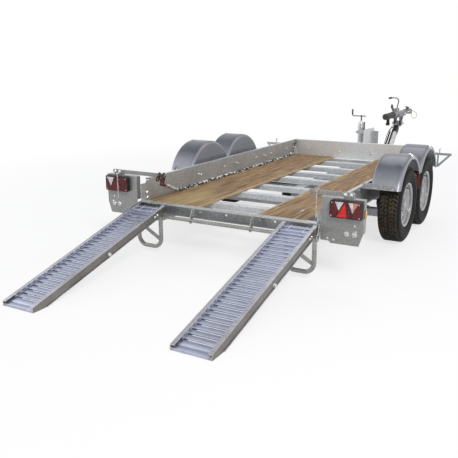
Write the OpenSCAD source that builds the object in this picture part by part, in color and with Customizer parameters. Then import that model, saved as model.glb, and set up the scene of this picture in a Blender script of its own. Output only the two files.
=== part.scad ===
// Twin-axle plant trailer with an open frame bed, two hook-on ramps and a height-adjustable drawbar.
// X runs to the right-hand side, Y forward to the coupling, Z up. All sizes are in millimetres.

/* [Bed] */
// clear width between the two side boards
bed_w = 1540; // [1300:10:1800]
// length from the rear beam to the front board
bed_l = 3080; // [2600:10:3600]
// height of the rear beam's top above the ground
beam_z = 405; // [380:1:480]
// height of the left side board and of the front board above the beam's top
side_h = 180; // [150:5:260]
// height of the right side board above the beam's top
side_low = 120; // [110:5:260]
// thickness of the galvanised sheet
sheet_t = 3; // [2:0.5:4]
// thickness of the plywood track strips
ply_t = 15; // [12:1:21]
// clear gap between the two track strips
strip_gap = 520; // [400:10:700]
// width of the flange folded out along the top of each side board
side_flange = 32; // [20:1:45]

/* [Rear beam] */
// height of the rear channel
beam_h = 80; // [70:1:100]
// depth of the rear channel
beam_d = 70; // [60:1:90]
// wall of the rear channel
beam_t = 5; // [4:0.5:6]
// overall length of the rear channel
beam_l = 1580; // [1400:10:1800]
// diameter of the bar that the ramps hook on
hook_d = 28; // [24:1:32]
// wall of that bar
hook_t = 4; // [3:0.5:6]
// distance from the middle to each inner gusset of the bar
gusset_x = 261; // [200:1:400]
// thickness of the inner gussets
gusset_t = 8; // [5:1:10]
// thickness of the plates at the beam's ends
cheek_t = 6; // [4:1:8]

/* [Chassis] */
// width of each chassis rail
rail_w = 50; // [40:1:60]
// height of each chassis rail
rail_h = 100; // [80:1:120]
// wall of the rails and of the centre beam
rail_t = 4; // [3:0.5:6]
// distance from the middle to each rail's centre line
rail_x = 645; // [560:5:670]
// width of each cross member
cross_w = 80; // [60:1:100]
// wall of the cross members
cross_t = 3; // [2:0.5:4]
// height of each cross member
cross_h = 45; // [35:1:50]
// width and height of the centre drawbar beam
spine_s = 100; // [80:1:120]
// distance from the rear beam to the centre beam's rear end
spine_y0 = 1200; // [900:10:1600]
// distance from the front board to the drawbar's lower pivot
pivot_reach = 1450; // [1150:10:1750]

/* [Rear legs] */
// outer diameter of the leg tube
leg_d = 34; // [28:1:42]
// wall of the leg tube
leg_wall = 3; // [2:0.5:4]
// width of each leg between its two uprights
leg_w = 221; // [200:1:230]
// radius of each leg's lower bends
leg_bend = 75; // [50:5:100]
// gap between the legs and the ground
leg_gap = 35; // [20:1:120]
// width of the flat brace across each leg
brace_w = 28; // [20:1:40]
// thickness of the brace
brace_t = 8; // [5:1:10]
// height of the brace's lower end above the ground
brace_z = 130; // [110:5:160]

/* [Ramps] */
// overall width of one ramp
ramp_w = 270; // [230:5:330]
// distance from the middle to each ramp's inner edge
ramp_in = 520; // [450:5:540]
// depth of a ramp's side rail
ramp_h = 60; // [50:1:80]
// width of a ramp's side rail
ramp_flange = 28; // [22:1:34]
// wall of a ramp's side rail
ramp_t = 4; // [3:0.5:5]
// distance from the rear beam to the ramp's toe, along the ground
ramp_run = 1457; // [1300:1:1800]
// pitch of the ramp's treads
tread_pitch = 48; // [40:1:60]
// width of one tread
tread_w = 40; // [30:1:42]
// thickness of the treads and of the toe plate
tread_t = 3; // [2:0.5:4]
// height of the lip along each tread
tread_lip = 9; // [6:1:12]
// depth of the treads' undersides below the rails' top
tread_sink = 20; // [14:1:24]
// length of the smooth toe plate
toe_l = 80; // [60:5:100]

/* [Wheels] */
// rolling radius of the tyres
wheel_r = 325; // [290:1:350]
// width of the tyres
tyre_w = 188; // [165:1:205]
// distance from the middle to each tyre's centre plane
wheel_x = 1014; // [980:1:1060]
// distance from the rear beam to the rear axle
axle_y = 1286; // [1100:1:1500]
// distance between the two axles
axle_gap = 676; // [670:1:760]
// radius of the rim's flange
rim_r = 190; // [175:1:200]
// width of the rim
rim_w = 150; // [135:1:160]
// radius of the wheel's centre hole
hub_r = 34; // [30:1:45]
// radius of the stub axle
stub_r = 20; // [16:1:25]
// side of the square axle tube
axle_s = 70; // [60:1:80]
// wall of the axle tube
axle_t = 5; // [4:0.5:7]
// distance from the wheel's centre forward to the axle tube
trail = 110; // [90:5:130]
// thickness of the axle's trailing arms
trail_t = 26; // [18:1:32]

/* [Mudguards] */
// radius of a mudguard's skin
guard_r = 395; // [380:1:420]
// height of the skin's centre above the ground
guard_z = 365; // [350:1:380]
// width of a mudguard
guard_w = 248; // [230:1:270]
// distance from the middle to a mudguard's inner side
guard_x = 868; // [850:1:880]
// depth of the turned-down outer edge
guard_lip = 38; // [25:1:60]
// height of a mudguard's lower ends above the ground
guard_low = 530; // [500:5:570]

/* [Lamp boards] */
// distance from the middle to a board's inner edge
board_x = 808; // [806:1:820]
// width of a lamp board
board_w = 308; // [290:1:330]
// height of a board's lower edge above the ground
board_low = 285; // [260:5:320]
// height of a board's top above the ground
board_top = 612; // [580:1:640]
// depth of the board's folded edges
board_fold = 45; // [30:1:60]
// width of a rear lamp
lamp_w = 232; // [200:1:240]
// height of a rear lamp
lamp_h = 126; // [100:1:130]
// depth of a rear lamp
lamp_d = 42; // [30:1:60]
// depth of a rear lamp's lens
lens_d = 12; // [8:1:16]
// height of a rear lamp's middle above the ground
lamp_z = 541; // [525:1:545]
// height of the bars that keep the ramps upright
keeper_h = 32; // [28:1:44]
// thickness of those bars
keeper_t = 8; // [5:1:10]

/* [Drawbar] */
// length of the swinging arm between its two pivots
arm_l = 580; // [450:5:700]
// angle of the swinging arm above level
arm_angle = 40; // [20:1:45]
// width of the swinging arm
arm_w = 60; // [50:1:80]
// depth of the swinging arm
arm_d = 70; // [60:1:90]
// radius of the arm's pivot pins
pin_r = 14; // [10:1:18]
// thickness of the cheeks that hold the two pins
fork_t = 12; // [8:1:14]
// radius of the cheeks round the lower pin
fork_r = 48; // [40:1:49]
// height of the coupling's shaft above the upper pivot
head_rise = 135; // [115:1:180]
// outer radius of the overrun housing
house_r = 36; // [32:1:42]
// radius of the coupling's shaft
shaft_r = 24; // [20:1:28]
// radius of the coupling's ball socket
socket_r = 25.2; // [25:0.1:25.6]
// outer radius of the rubber boot
boot_r = 42; // [38:1:46]
// length of the rubber boot
boot_l = 384; // [360:12:408]

/* [Jack] */
// outer diameter of the jack's tube
jack_d = 70; // [60:1:76]
// distance from the middle to the jack
jack_x = 122; // [115:1:150]
// distance from the front board to the jack
jack_reach = 570; // [350:10:750]
// wall of the jack's tube and of its leg
jack_t = 4; // [3:0.5:6]
// radius of the jack's wheel
jack_r = 105; // [95:1:120]
// width of the jack's wheel
jack_w = 60; // [50:1:70]
// reach of the crank
crank_l = 125; // [100:5:150]
// radius of the crank's screw and of the wheel's axle
screw_r = 8; // [6:0.5:9]

/* [Hidden] */
eps = 0.3;
deck_z = beam_z - 3;
cross_top = deck_z - ply_t;
rail_top = cross_top - cross_h;
rail_low = rail_top - rail_h;
front_y = 70 + bed_l;
half_w = bed_w / 2;
side_top = beam_z + side_h;
hole_d = 16;
// width of the folded feet that the strips' ends lie on
seat_w = 45;
// where the side boards start, and where their flanges start past the stepped corner
board_y = 76;
step_y = 112;
step_h = 14;
// depth of the lip turned down along a board's flange
lip_h = 16;
// gaps left round the plywood strips, beside the boards and at their ends
strip_fit = 5;
end_fit = 4;
// running clearance of a pin in its hole
pin_fit = 0.05;
// number of wheel studs and radius of their circle
studs = 5;
stud_r = 56;
// radius of a mudguard's shoulders, and how far its outer one runs down past its end
guard_round = 30;
guard_drop = 25;
// where a lamp starts on its board, and the black edge left round its lens
lamp_x = board_x + 69;
lamp_edge = 4;
// where the outer bolt goes through a lamp board
bolt_x = 246;
// depth of a side marker
marker_d = 9;
// width and thickness of the stays under the mudguards
stay_w = 40;
stay_t = 4;
hook_y = -32;
leg_x = beam_l / 2 - 12 - leg_w / 2;
cheek_x = beam_l / 2 + cheek_t;
hook_z = beam_z - beam_h - 13;
axle_y2 = axle_y + axle_gap;
// half the length of the axle tubes, which leaves room for the trailing arms beside the tyres
axle_x = wheel_x - tyre_w / 2 - 85;
cross_y = [350, 830, 1230, 1680, 2040, 2440, 2860];
spine_z = rail_top - spine_s / 2;
pivot_y = front_y + pivot_reach;
jack_y = front_y + jack_reach;
jack_top = 780;
up_y = pivot_y + arm_l * cos(arm_angle);
up_z = spine_z + arm_l * sin(arm_angle);
head_z = up_z + head_rise;
head_front = up_y + 640;
// half the length of the overrun housing, and the pitch of its boot's folds
house_l = 300;
fold = 31;
// middle and radius of the brake lever's pin, and where the lock lever stands
lever_y = up_y - 110;
lever_z = head_z + 62;
lever_r = 8;
lock_y = up_y - 280;
mid_y = (head_front - ramp_run) / 2;
// lower edge of the bars that keep the ramps upright, and their outer end
keeper_z = board_top + 14;
bar_end = 1046;
ring_x = -548;
ring_z = board_top + 5.8;
ramp_top = beam_z - 2;
ramp_toe = 35;
// height of the toe plate's rear edge above the ground
toe_z = ramp_toe - 18;
// thickness of a ramp's hook, and its clearance on the bar
hook_w = 8;
hook_fit = 0.4;
ramp_y0 = 20;
ramp_s = (ramp_top - ramp_toe) / (ramp_run - ramp_y0);
ramp_a = atan(ramp_s);
guard_end = guard_low + 20;
guard_y1 = sqrt(guard_r * guard_r - (guard_end - guard_z) * (guard_end - guard_z));

steel = [0.72, 0.73, 0.74];
grey = [0.47, 0.49, 0.55];
black = [0.08, 0.08, 0.09];
wood = [0.60, 0.45, 0.30];
alu = [0.66, 0.68, 0.74];
red = [0.60, 0.05, 0.05];

// places what is drawn from the rear beam into the part's own frame
module place() translate([0, -mid_y, 0]) children();
// a profile drawn in Y and Z, pushed out along X from x0 over w
module across(x0, w) translate([x0, 0, 0]) rotate([90, 0, 90]) linear_extrude(w) children();
// the same thing on both sides
module both() { children(); mirror([1, 0, 0]) children(); }
// a hollow box beam along Y
module box_y(x, y0, y1, z0, w, h, t) difference() {
  translate([x - w / 2, y0, z0]) cube([w, y1 - y0, h]);
  translate([x - w / 2 + t, y0 - 1, z0 + t]) cube([w - 2 * t, y1 - y0 + 2, h - 2 * t]);
}
// a cylinder along X, centred on x
module rod_x(x0, x1, y, z, r) translate([x0, y, z]) rotate([0, 90, 0]) cylinder(h = x1 - x0, r = r, $fn = 48);
module rod_y(x, y0, y1, z, r) translate([x, y0, z]) rotate([-90, 0, 0]) cylinder(h = y1 - y0, r = r, $fn = 48);
module rod_z(x, y, z0, z1, r) translate([x, y, z0]) cylinder(h = z1 - z0, r = r, $fn = 48);

module rear_beam() color(steel) place() {
  difference() {
    across(-beam_l / 2, beam_l) polygon([[0, beam_z], [beam_d, beam_z], [beam_d, beam_z - beam_h],
      [0, beam_z - beam_h], [0, beam_z - beam_h + beam_t], [beam_d - beam_t, beam_z - beam_h + beam_t],
      [beam_d - beam_t, beam_z - beam_t], [0, beam_z - beam_t]]);
    // lashing holes in the web
    for (x = [-420, 0, 420]) rod_y(x, beam_d - 20, beam_d + 10, beam_z - beam_h / 2, hole_d / 2 + 1);
  }
  both() translate([beam_l / 2, 0, beam_z - beam_h]) cube([cheek_t, beam_d, beam_h]);
  // seat of the strips' rear ends
  translate([-half_w + 30, beam_d, cross_top - sheet_t]) cube([bed_w - 60, seat_w, sheet_t]);
}

module hook_bar() color(steel) place() {
  difference() {
    rod_x(-cheek_x - cheek_t, cheek_x + cheek_t, hook_y, hook_z, hook_d / 2);
    rod_x(-cheek_x - cheek_t - 1, cheek_x + cheek_t + 1, hook_y, hook_z, hook_d / 2 - hook_t);
  }
  bar_cheek(-gusset_x - gusset_t, gusset_t, 0);
  bar_cheek(gusset_x, gusset_t, 0);
  bar_cheek(-cheek_x - cheek_t, cheek_t, 30);
  bar_cheek(cheek_x, cheek_t, 30);
}
// a gusset plate that holds the bar on the beam, and reaches y1 along the beam's end
module bar_cheek(x, t, y1) difference() {
  across(x, t) union() {
    translate([hook_y, hook_z]) circle(r = hook_d / 2 + 10, $fn = 48);
    polygon([[hook_y - 20, hook_z + 8], [-12, beam_z - 4], [y1, beam_z - 4],
             [y1, beam_z - beam_h], [hook_y + 20, hook_z - 8]]);
  }
  rod_x(x - 1, x + t + 1, hook_y, hook_z, hook_d / 2 - hook_t);
  rod_x(x - 1, x + t + 1, -16, hook_z + 44, 7);
}

module leg_path(r) {
  z0 = leg_gap + leg_d / 2;
  xl = -leg_w / 2;
  xr = leg_w / 2;
  rod_z(xl, 0, z0 + leg_bend, hook_z, r);
  rod_z(xr, 0, z0 + leg_bend, hook_z, r);
  rod_x(xl + leg_bend, xr - leg_bend, 0, z0, r);
  translate([xl + leg_bend, 0, z0 + leg_bend]) rotate([90, 0, 0]) rotate([0, 0, 180])
    rotate_extrude(angle = 90, $fn = 64) translate([leg_bend, 0]) circle(r = r, $fn = 32);
  translate([xr - leg_bend, 0, z0 + leg_bend]) rotate([90, 0, 0]) rotate([0, 0, 270])
    rotate_extrude(angle = 90, $fn = 64) translate([leg_bend, 0]) circle(r = r, $fn = 32);
}
module one_leg(x) difference() {
  union() {
    translate([x, hook_y, 0]) leg_path(leg_d / 2);
    // sleeves that hang on the bar
    for (s = [-1, 1]) rod_x(x + s * leg_w / 2 - 16, x + s * leg_w / 2 + 16, hook_y, hook_z, hook_d / 2 + hook_t);
    // flat brace, from low on the right to high on the left
    translate([x + leg_w / 2, hook_y - brace_t / 2, brace_z]) rotate([0, -150, 0])
      cube([leg_w / cos(30), brace_t, brace_w]);
  }
  translate([x, hook_y, 0]) leg_path(leg_d / 2 - leg_wall);
  rod_x(x - leg_w, x + leg_w, hook_y, hook_z, hook_d / 2 + eps);
}
module rear_legs() color(steel) place() {
  one_leg(leg_x);
  one_leg(-leg_x);
}

module chassis_rails() color(steel) place() both()
  box_y(rail_x, beam_d, front_y, rail_low, rail_w, rail_h, rail_t);

module centre_beam() color(steel) place() {
  difference() {
    box_y(0, spine_y0, pivot_y - 40, spine_z - spine_s / 2, spine_s, spine_s, rail_t + 1);
    rod_z(0, spine_y0 + 60, spine_z - spine_s, spine_z + spine_s, 11);
  }
  // two cheeks that hold the arm's lower pivot
  both() difference() {
    across(arm_w / 2 + 6, fork_t) union() {
      translate([pivot_y, spine_z]) circle(r = fork_r, $fn = 64);
      polygon([[pivot_y - 130, spine_z - fork_r], [pivot_y, spine_z - fork_r],
               [pivot_y, spine_z + fork_r], [pivot_y - 130, spine_z + fork_r]]);
    }
    rod_x(arm_w / 2, arm_w / 2 + 30, pivot_y, spine_z, pin_r + pin_fit);
  }
}

module cross_members() color(steel) place() for (y = cross_y)
  across(-half_w + eps, bed_w - 2 * eps) polygon([[y - cross_w / 2, rail_top], [y - cross_w / 2, cross_top],
    [y + cross_w / 2, cross_top], [y + cross_w / 2, rail_top], [y + cross_w / 2 - cross_t, rail_top],
    [y + cross_w / 2 - cross_t, cross_top - cross_t], [y - cross_w / 2 + cross_t, cross_top - cross_t],
    [y - cross_w / 2 + cross_t, rail_top]]);

// one side board, drawn on the right
module side_board(top) {
  difference() {
    translate([half_w, board_y, rail_top]) cube([sheet_t, front_y - board_y, top - rail_top]);
    // stepped rear top corner
    translate([half_w - 5, board_y - 26, top - step_h]) cube([sheet_t + 10, step_y - board_y + 26, 30]);
    // lashing holes
    for (y = [520, 1560, 2600]) rod_x(half_w - 5, half_w + 10, y, beam_z + 85, hole_d / 2);
  }
  translate([half_w, step_y, top - sheet_t]) cube([side_flange, front_y - step_y, sheet_t]);
  translate([half_w + side_flange - sheet_t, step_y, top - lip_h]) cube([sheet_t, front_y - step_y, lip_h]);
}
module side_boards() color(steel) place() {
  side_board(beam_z + side_low);
  mirror([1, 0, 0]) side_board(side_top);
}

// a post stands at each rear corner, and an arm beside it carries the lamp board
module corner_brackets() color(steel) place() {
  corner_post(side_low - 34);
  mirror([1, 0, 0]) corner_post(side_h - 34);
  both() lamp_arm();
}
module corner_post(h) {
  t = 5;
  foot = 70;
  translate([half_w + sheet_t + eps, 8, beam_z + eps]) cube([t, 96, h]);
  translate([half_w - foot, 6, beam_z + eps]) cube([foot + sheet_t + t, 60, 4]);
}

module front_board() color(steel) place() {
  top = side_top + 5;
  translate([-half_w, front_y + eps, rail_top]) cube([bed_w, sheet_t, top - rail_top]);
  translate([-half_w, front_y + eps, top - sheet_t]) cube([bed_w, side_flange, sheet_t]);
  translate([-half_w, front_y + eps + side_flange - sheet_t, top - lip_h - sheet_t])
    cube([bed_w, sheet_t, lip_h + sheet_t]);
  // hook in the left front corner, which holds the chain's end
  translate([-half_w + eps, front_y - 55, side_top + eps]) cube([36, 30, 14]);
  // a folded foot that carries the strips' front ends
  translate([-half_w, front_y - seat_w, cross_top - sheet_t]) cube([bed_w, seat_w + eps, sheet_t]);
}

module track_strips() color(wood) place() {
  translate([-half_w + strip_fit, beam_d + end_fit, cross_top])
    cube([half_w - strip_fit - strip_gap / 2, bed_l - 2 * end_fit, ply_t]);
  // the right strip's rear outer corner is cut back
  translate([0, 0, cross_top]) linear_extrude(ply_t) polygon([[strip_gap / 2, beam_d + end_fit],
    [half_w - 140, beam_d + end_fit], [half_w - 110, beam_d + 300], [half_w - strip_fit, beam_d + 330],
    [half_w - strip_fit, front_y - end_fit], [strip_gap / 2, front_y - end_fit]]);
}

module axle_tubes() color(steel) place() for (y = [axle_y, axle_y2]) difference() {
  translate([-axle_x, y + trail - axle_s / 2, rail_low - axle_s]) cube([2 * axle_x, axle_s, axle_s]);
  translate([-axle_x - 1, y + trail - axle_s / 2 + axle_t, rail_low - axle_s + axle_t])
    cube([2 * axle_x + 2, axle_s - 2 * axle_t, axle_s - 2 * axle_t]);
}

module one_arm(y) {
  zt = rail_low - axle_s / 2;
  across(axle_x + eps, trail_t) union() {
    translate([y + trail, zt]) circle(r = 40, $fn = 64);
    translate([y, wheel_r]) circle(r = 34, $fn = 64);
    polygon([[y + trail - 26, zt - 30], [y + trail + 26, zt + 30], [y + 22, wheel_r + 26], [y - 24, wheel_r - 24]]);
  }
  rod_x(axle_x + trail_t, wheel_x - 54, y, wheel_r, stub_r);
}
module axle_arms() color(black) place() both() {
  one_arm(axle_y);
  one_arm(axle_y2);
}

// wheels are drawn on the X axis with their outer side at +X
module tyre_shape() color(black) rotate([0, 90, 0]) rotate_extrude($fn = 128) {
  b = rim_r - 12;
  r = wheel_r;
  w = tyre_w / 2;
  // half of the outer line from the bead to the tread, then of the inner line back to the bead
  outer = [[b, w - 26], [b + 14, w - 18], [b + 37, w - 10], [r - 70, w], [r - 33, w - 4], [r - 11, w - 14],
    [r, w - 28]];
  inner = [[r - 13, w - 38], [r - 19, w - 26], [r - 37, w - 16], [r - 69, w - 14], [b + 44, w - 22],
    [b + 18, w - 34], [b, w - 40]];
  polygon(concat(
    [for (p = outer) [p[0], -p[1]]], [for (i = [6:-1:0]) outer[i]],
    [for (i = [6:-1:0]) inner[i]], [for (p = inner) [p[0], -p[1]]]));
}
module rim_only() rotate([0, 90, 0]) difference() {
  rotate_extrude($fn = 128) polygon([
    [rim_r, -rim_w / 2 - 5], [rim_r, -rim_w / 2], [177, -68], [177, -52], [158, -38], [152, 10],
    [160, 40], [177, 52], [177, 68], [rim_r, rim_w / 2], [rim_r, rim_w / 2 + 5], [rim_r - 5, rim_w / 2 + 5],
    [172, 72], [172, 55], [156, 44], [148, 40], [128, 50], [108, 52], [92, 34], [hub_r, 30], [hub_r, 24],
    [94, 24], [110, 44], [126, 42], [146, 26], [147, 10], [153, -41], [172, -56], [172, -72],
    [rim_r - 5, -rim_w / 2 - 5]]);
  // hand holes round the disc and five stud holes
  for (i = [0:7]) rotate([0, 0, i * 45]) translate([118, 0, 30]) cylinder(h = 40, r = 13, $fn = 32);
  for (i = [0:studs - 1]) rotate([0, 0, i * 360 / studs]) translate([stud_r, 0, 10])
    cylinder(h = 40, r = 7.5, $fn = 24);
}
module hub_only() rotate([0, 90, 0]) {
  difference() {
    rotate_extrude($fn = 96) polygon([[0, 66], [22, 66], [33, 60], [33, 24], [80, 24 - eps], [80, 12],
      [112, 12], [115, 6], [115, -48], [108, -48], [108, 4], [40, 4], [40, -96], [0, -96]]);
    translate([0, 0, -100]) cylinder(h = 50, r = stub_r + pin_fit, $fn = 48);
    translate([0, 0, -90]) cylinder(h = 130, r = stub_r + pin_fit, $fn = 48);
  }
  for (i = [0:studs - 1]) rotate([0, 0, i * 360 / studs]) translate([stud_r, 0, 30 + eps]) {
    cylinder(h = 15, r = 11, $fn = 6);
    translate([0, 0, -22]) cylinder(h = 44, r = 6, $fn = 24);
  }
}
module rim_shape() color(steel) {
  rim_only();
  hub_only();
}
module at_wheel(side, y) place() translate([side * wheel_x, y, wheel_r])
  rotate([0, 0, side > 0 ? 0 : 180]) children();

// closed inner side, skin with two rounded shoulders, and a turned-down outer edge
module guard_profile() {
  w = guard_w;
  t = sheet_t;
  q = guard_round;
  c = guard_r - q;
  function arc(x, r, from, to) =
    [for (i = [0:6]) let (a = from + (to - from) * i / 6) [c + r * cos(a), x + r * sin(a)]];
  polygon(concat([[0, 0]], arc(q, q, -90, 0), arc(w - q, q, 0, 90),
    [[guard_r - guard_lip, w], [guard_r - guard_lip, w - t]],
    arc(w - q, q - t, 90, 0), arc(q, q - t, 0, -90), [[0, t]]));
}
// back and front are how far it reaches from the axle, and its end is at the rear (-1) or the front (1)
module one_guard(y, back, front, end) place() translate([guard_x, y, guard_z]) intersection() {
  rotate([0, 90, 0]) rotate_extrude($fn = 128) guard_profile();
  union() {
    translate([-10, -back, guard_end - guard_z]) cube([guard_w + 40, back + front, guard_r]);
    // the outer shoulder runs on down past the stay
    translate([guard_w - guard_round, end < 0 ? -guard_r : 0, guard_low - guard_drop - guard_z])
      cube([guard_round + 40, guard_r, guard_r]);
  }
}
module mudguards() color(grey) both() {
  one_guard(axle_y, guard_r, axle_gap / 2 - 3, -1);
  one_guard(axle_y2, axle_gap / 2 - 3, guard_r, 1);
}

// on the left they start at the board's sheet, and on the right, where the board is lower, at its flange
module outriggers() color(steel) place() {
  guard_stay(half_w + side_flange + eps);
  front_bracket(half_w + side_flange + eps);
  mirror([1, 0, 0]) guard_stay(half_w + sheet_t + eps);
  mirror([1, 0, 0]) front_bracket(half_w + sheet_t + eps);
}
module guard_stay(xs) {
  l = guard_x + guard_w - guard_round - sheet_t - xs;
  low = guard_low - 24;
  mid_low = guard_low - 6;
  for (y = [axle_y - guard_y1, axle_y2 + guard_y1 - stay_t]) {
    translate([xs, y + stay_t / 2 - stay_w / 2, low]) cube([l, stay_w, stay_t]);
    translate([xs, y, low]) cube([l, stay_t, guard_end - low - eps]);
  }
  translate([xs, axle_y + axle_gap / 2 - stay_w / 2, mid_low]) cube([l, stay_w, stay_t]);
  translate([xs, axle_y + axle_gap / 2 - stay_t / 2, mid_low]) cube([l, stay_t, guard_low + 18 - mid_low]);
}

module lamp_boards() color(steel) place() both() {
  w = board_w;
  // the lower edge steps up at the inner end, and the lower outer corner is cut off
  step = board_low + 15;
  cut = board_low + 92;
  difference() {
    translate([board_x, 0, 0]) rotate([90, 0, 0]) linear_extrude(sheet_t) polygon([[0, step],
      [62, step], [72, board_low], [w - 30, board_low], [w, cut], [w, board_top], [0, board_top]]);
    rod_y(board_x + bolt_x, -5, 5, 427, 6);
    rod_y(lamp_x + lamp_w / 2, -5, 5, lamp_z + 1, 30);
  }
  translate([board_x, 0, board_top - sheet_t]) cube([w, board_fold, sheet_t]);
  translate([board_x + w - sheet_t, 0, cut]) cube([sheet_t, board_fold, board_top - cut]);
  // the inner fold stops above the arm that carries the board
  translate([board_x, 0, beam_z + 15]) cube([sheet_t, board_fold, board_top - beam_z - 15]);
}

module lamp_arm() {
  x0 = cheek_x + cheek_t;
  l = board_x + board_w - 60 - x0;
  t = 5;
  w = 40;
  translate([x0, eps, beam_z - 60]) cube([l, t, w]);
  translate([x0, eps, beam_z - 60 + w - t]) cube([l, w, t]);
  for (x = [board_x + 190, board_x + bolt_x]) rod_y(x, -sheet_t - 12, -sheet_t - eps, beam_z - 60 + w / 2, 9);
}

module lamp_bodies() color(black) place() both()
  translate([lamp_x, -sheet_t - eps - lamp_d + lens_d, lamp_z - lamp_h / 2])
    cube([lamp_w, lamp_d - lens_d, lamp_h]);
module lamp_lenses() color(red) place() both()
  translate([lamp_x + lamp_edge, -sheet_t - eps - lamp_d, lamp_z - lamp_h / 2 + lamp_edge])
    cube([lamp_w - 2 * lamp_edge, lens_d - eps, lamp_h - 2 * lamp_edge]);
module side_markers() color([0.9, 0.45, 0.1]) place() both()
  translate([board_x + board_w + eps, 8, 480]) cube([marker_d, 28, 62]);

module one_bar(x0, x1, xb) {
  w = 70;
  translate([x0, -keeper_t, keeper_z]) cube([x1 - x0, keeper_t, keeper_h]);
  translate([xb, 0, board_top + eps]) cube([w, 6, keeper_z + keeper_h - board_top]);
  translate([xb, 6, board_top + eps]) cube([w, 36, 5]);
  for (x = [xb + 14, xb + w - 14]) rod_y(x, -keeper_t - 6, -keeper_t, keeper_z + keeper_h / 2, 9);
}
module ramp_bars() color(steel) place() {
  pin_chains();
  // ring that the load chain starts from
  translate([ring_x, -4, ring_z]) rotate([0, 90, 0])
    rotate_extrude($fn = 48) translate([20, 0]) circle(r = 5, $fn = 24);
  // each reaches from its outer end over its ramp, and stands on a bracket over the lamp board
  one_bar(715, bar_end, bar_end - 80);
  difference() {
    mirror([1, 0, 0]) one_bar(525, bar_end, bar_end - 80);
    rod_y(ring_x, -keeper_t - 1, 1, keeper_z + 14, 8);
  }
}

module pin_chains() {
  r = 3;
  pin = 5;
  right_z = board_top + 50;
  left_z = board_top + 20;
  // the right one hangs in front of the post, and the left one in front of the lamp
  rod_z(775, -17, 455, right_z, r);
  rod_z(-962, -17 - lamp_d, 425, left_z, r);
  rod_y(775, -17 - pin, -keeper_t - eps, right_z, pin);
  rod_y(-962, -19 - pin - lamp_d, -keeper_t - eps, left_z, pin);
}

module front_bracket(xs) {
  t = 5;
  y = front_y - 90;
  // a flat bar, a triangle with a triangular window under its end, and a round hook on top
  x1 = 1120;
  w = 150;
  top = 546;
  translate([xs, y, top - 26]) cube([x1 - xs, t, 26]);
  translate([x1 - w, y, 0]) rotate([90, 0, 0]) linear_extrude(t) difference() {
    polygon([[0, top], [w, top], [w, top - 16], [20, 390], [0, 390]]);
    polygon([[18, top - 18], [w - 32, top - 18], [18, 424]]);
  }
  rod_z(x1 - w + 22, y, top - 6, top + 42, t);
  rod_y(x1 - w + 22, y - t, y + 40, top + 42, t);
}

module jack_mount() color(steel) place() {
  jack_plate();
  jack_clamp();
}
module jack_plate() {
  x = -spine_s / 2;
  t = 8;
  y0 = jack_y - 130;
  y1 = jack_y + 330;
  low = spine_z + spine_s / 2 + eps;
  difference() {
    across(x, t) polygon([[y0, low], [y0, 700], [y1 - 30, 690], [y1, 660], [y1, low]]);
    // an arched window over the beam, and a hole above it
    rod_x(x - 1, x + t + 1, jack_y + 70, spine_z + 120, 60);
    translate([x - 1, jack_y + 10, spine_z + 40]) cube([t + 2, 120, 80]);
    rod_x(x - 1, x + t + 1, jack_y + 60, 600, 9);
  }
  // front flange and foot
  translate([x, y1, low]) cube([60, t, 300]);
  translate([x, y0, low]) cube([80, y1 - y0, 6]);
}

module jack_clamp() for (z = [spine_z + 110, 640]) {
  // wall and height of the clamp, and the radius of its screw
  t = 9;
  h = 34;
  r = 8;
  x0 = -jack_x - jack_d / 2 - t;
  difference() {
    translate([x0, jack_y - jack_d / 2 - t, z]) cube([-spine_s / 2 - eps - x0, jack_d + 2 * t, h]);
    rod_z(-jack_x, jack_y, z - 1, z + h + 1, jack_d / 2 + eps);
  }
  rod_x(x0 - 21, x0, jack_y, z + h / 2, r);
}

module jack_tube() color(steel) place() {
  difference() {
    union() {
      rod_z(-jack_x, jack_y, 330, jack_top, jack_d / 2);
      rod_z(-jack_x, jack_y, jack_top, jack_top + 16, jack_d / 2 - 12);
      rod_z(-jack_x, jack_y, jack_top - 68, jack_top - 56, jack_d / 2 + 5);
    }
    rod_z(-jack_x, jack_y, 320, jack_top - 10, jack_d / 2 - jack_t);
    rod_z(-jack_x, jack_y, jack_top - 20, jack_top + 20, screw_r + 1);
  }
}
module jack_leg() color(steel) place() {
  t = 6;
  h = 8;
  r = 22;
  side = 8;
  low = 2 * jack_r + 32;
  difference() {
    rod_z(-jack_x, jack_y, low + h, 700, jack_d / 2 - jack_t - 0.5);
    rod_z(-jack_x, jack_y, low + h + 5, 701, jack_d / 2 - 2 * jack_t - 0.5);
  }
  // fork over the wheel: a bridge of height h, and two blades of thickness t and half width r
  translate([-jack_x - jack_w / 2 - side - t, jack_y - r, low]) cube([jack_w + 2 * side + 2 * t, 2 * r, h]);
  for (x = [-jack_x - jack_w / 2 - side - t, -jack_x + jack_w / 2 + side]) across(x, t) union() {
    translate([jack_y, jack_r]) circle(r = r, $fn = 48);
    translate([jack_y - r, jack_r]) square([2 * r, low - jack_r]);
  }
  rod_x(-jack_x - jack_w / 2 - side, -jack_x + jack_w / 2 + side, jack_y, jack_r, screw_r);
}
module jack_wheel() color(black) place() translate([-jack_x, jack_y, jack_r]) rotate([0, 90, 0]) {
  hub = screw_r + 8;
  dish = 8;
  tread = jack_r - 10;
  difference() {
    rotate_extrude($fn = 96) translate([0, -jack_w / 2]) polygon([[0, -4], [hub, -4], [hub, dish], [60, dish],
      [74, 2], [tread, 0], [jack_r, 10], [jack_r, jack_w - 10], [tread, jack_w], [74, jack_w - 2],
      [60, jack_w - dish], [hub, jack_w - dish], [hub, jack_w + 4], [0, jack_w + 4]]);
    cylinder(h = 200, r = screw_r + pin_fit, center = true, $fn = 48);
  }
}
module jack_crank() color(black) place() {
  z = jack_top + 70;
  w = 14;
  t = 12;
  rod_z(-jack_x, jack_y, 700, z, screw_r);
  translate([-jack_x - crank_l, jack_y - w / 2, z]) cube([crank_l + 62, w, t]);
  rod_z(-jack_x - crank_l + w / 2, jack_y, z + t, z + t + 78, screw_r + 1);
}

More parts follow.
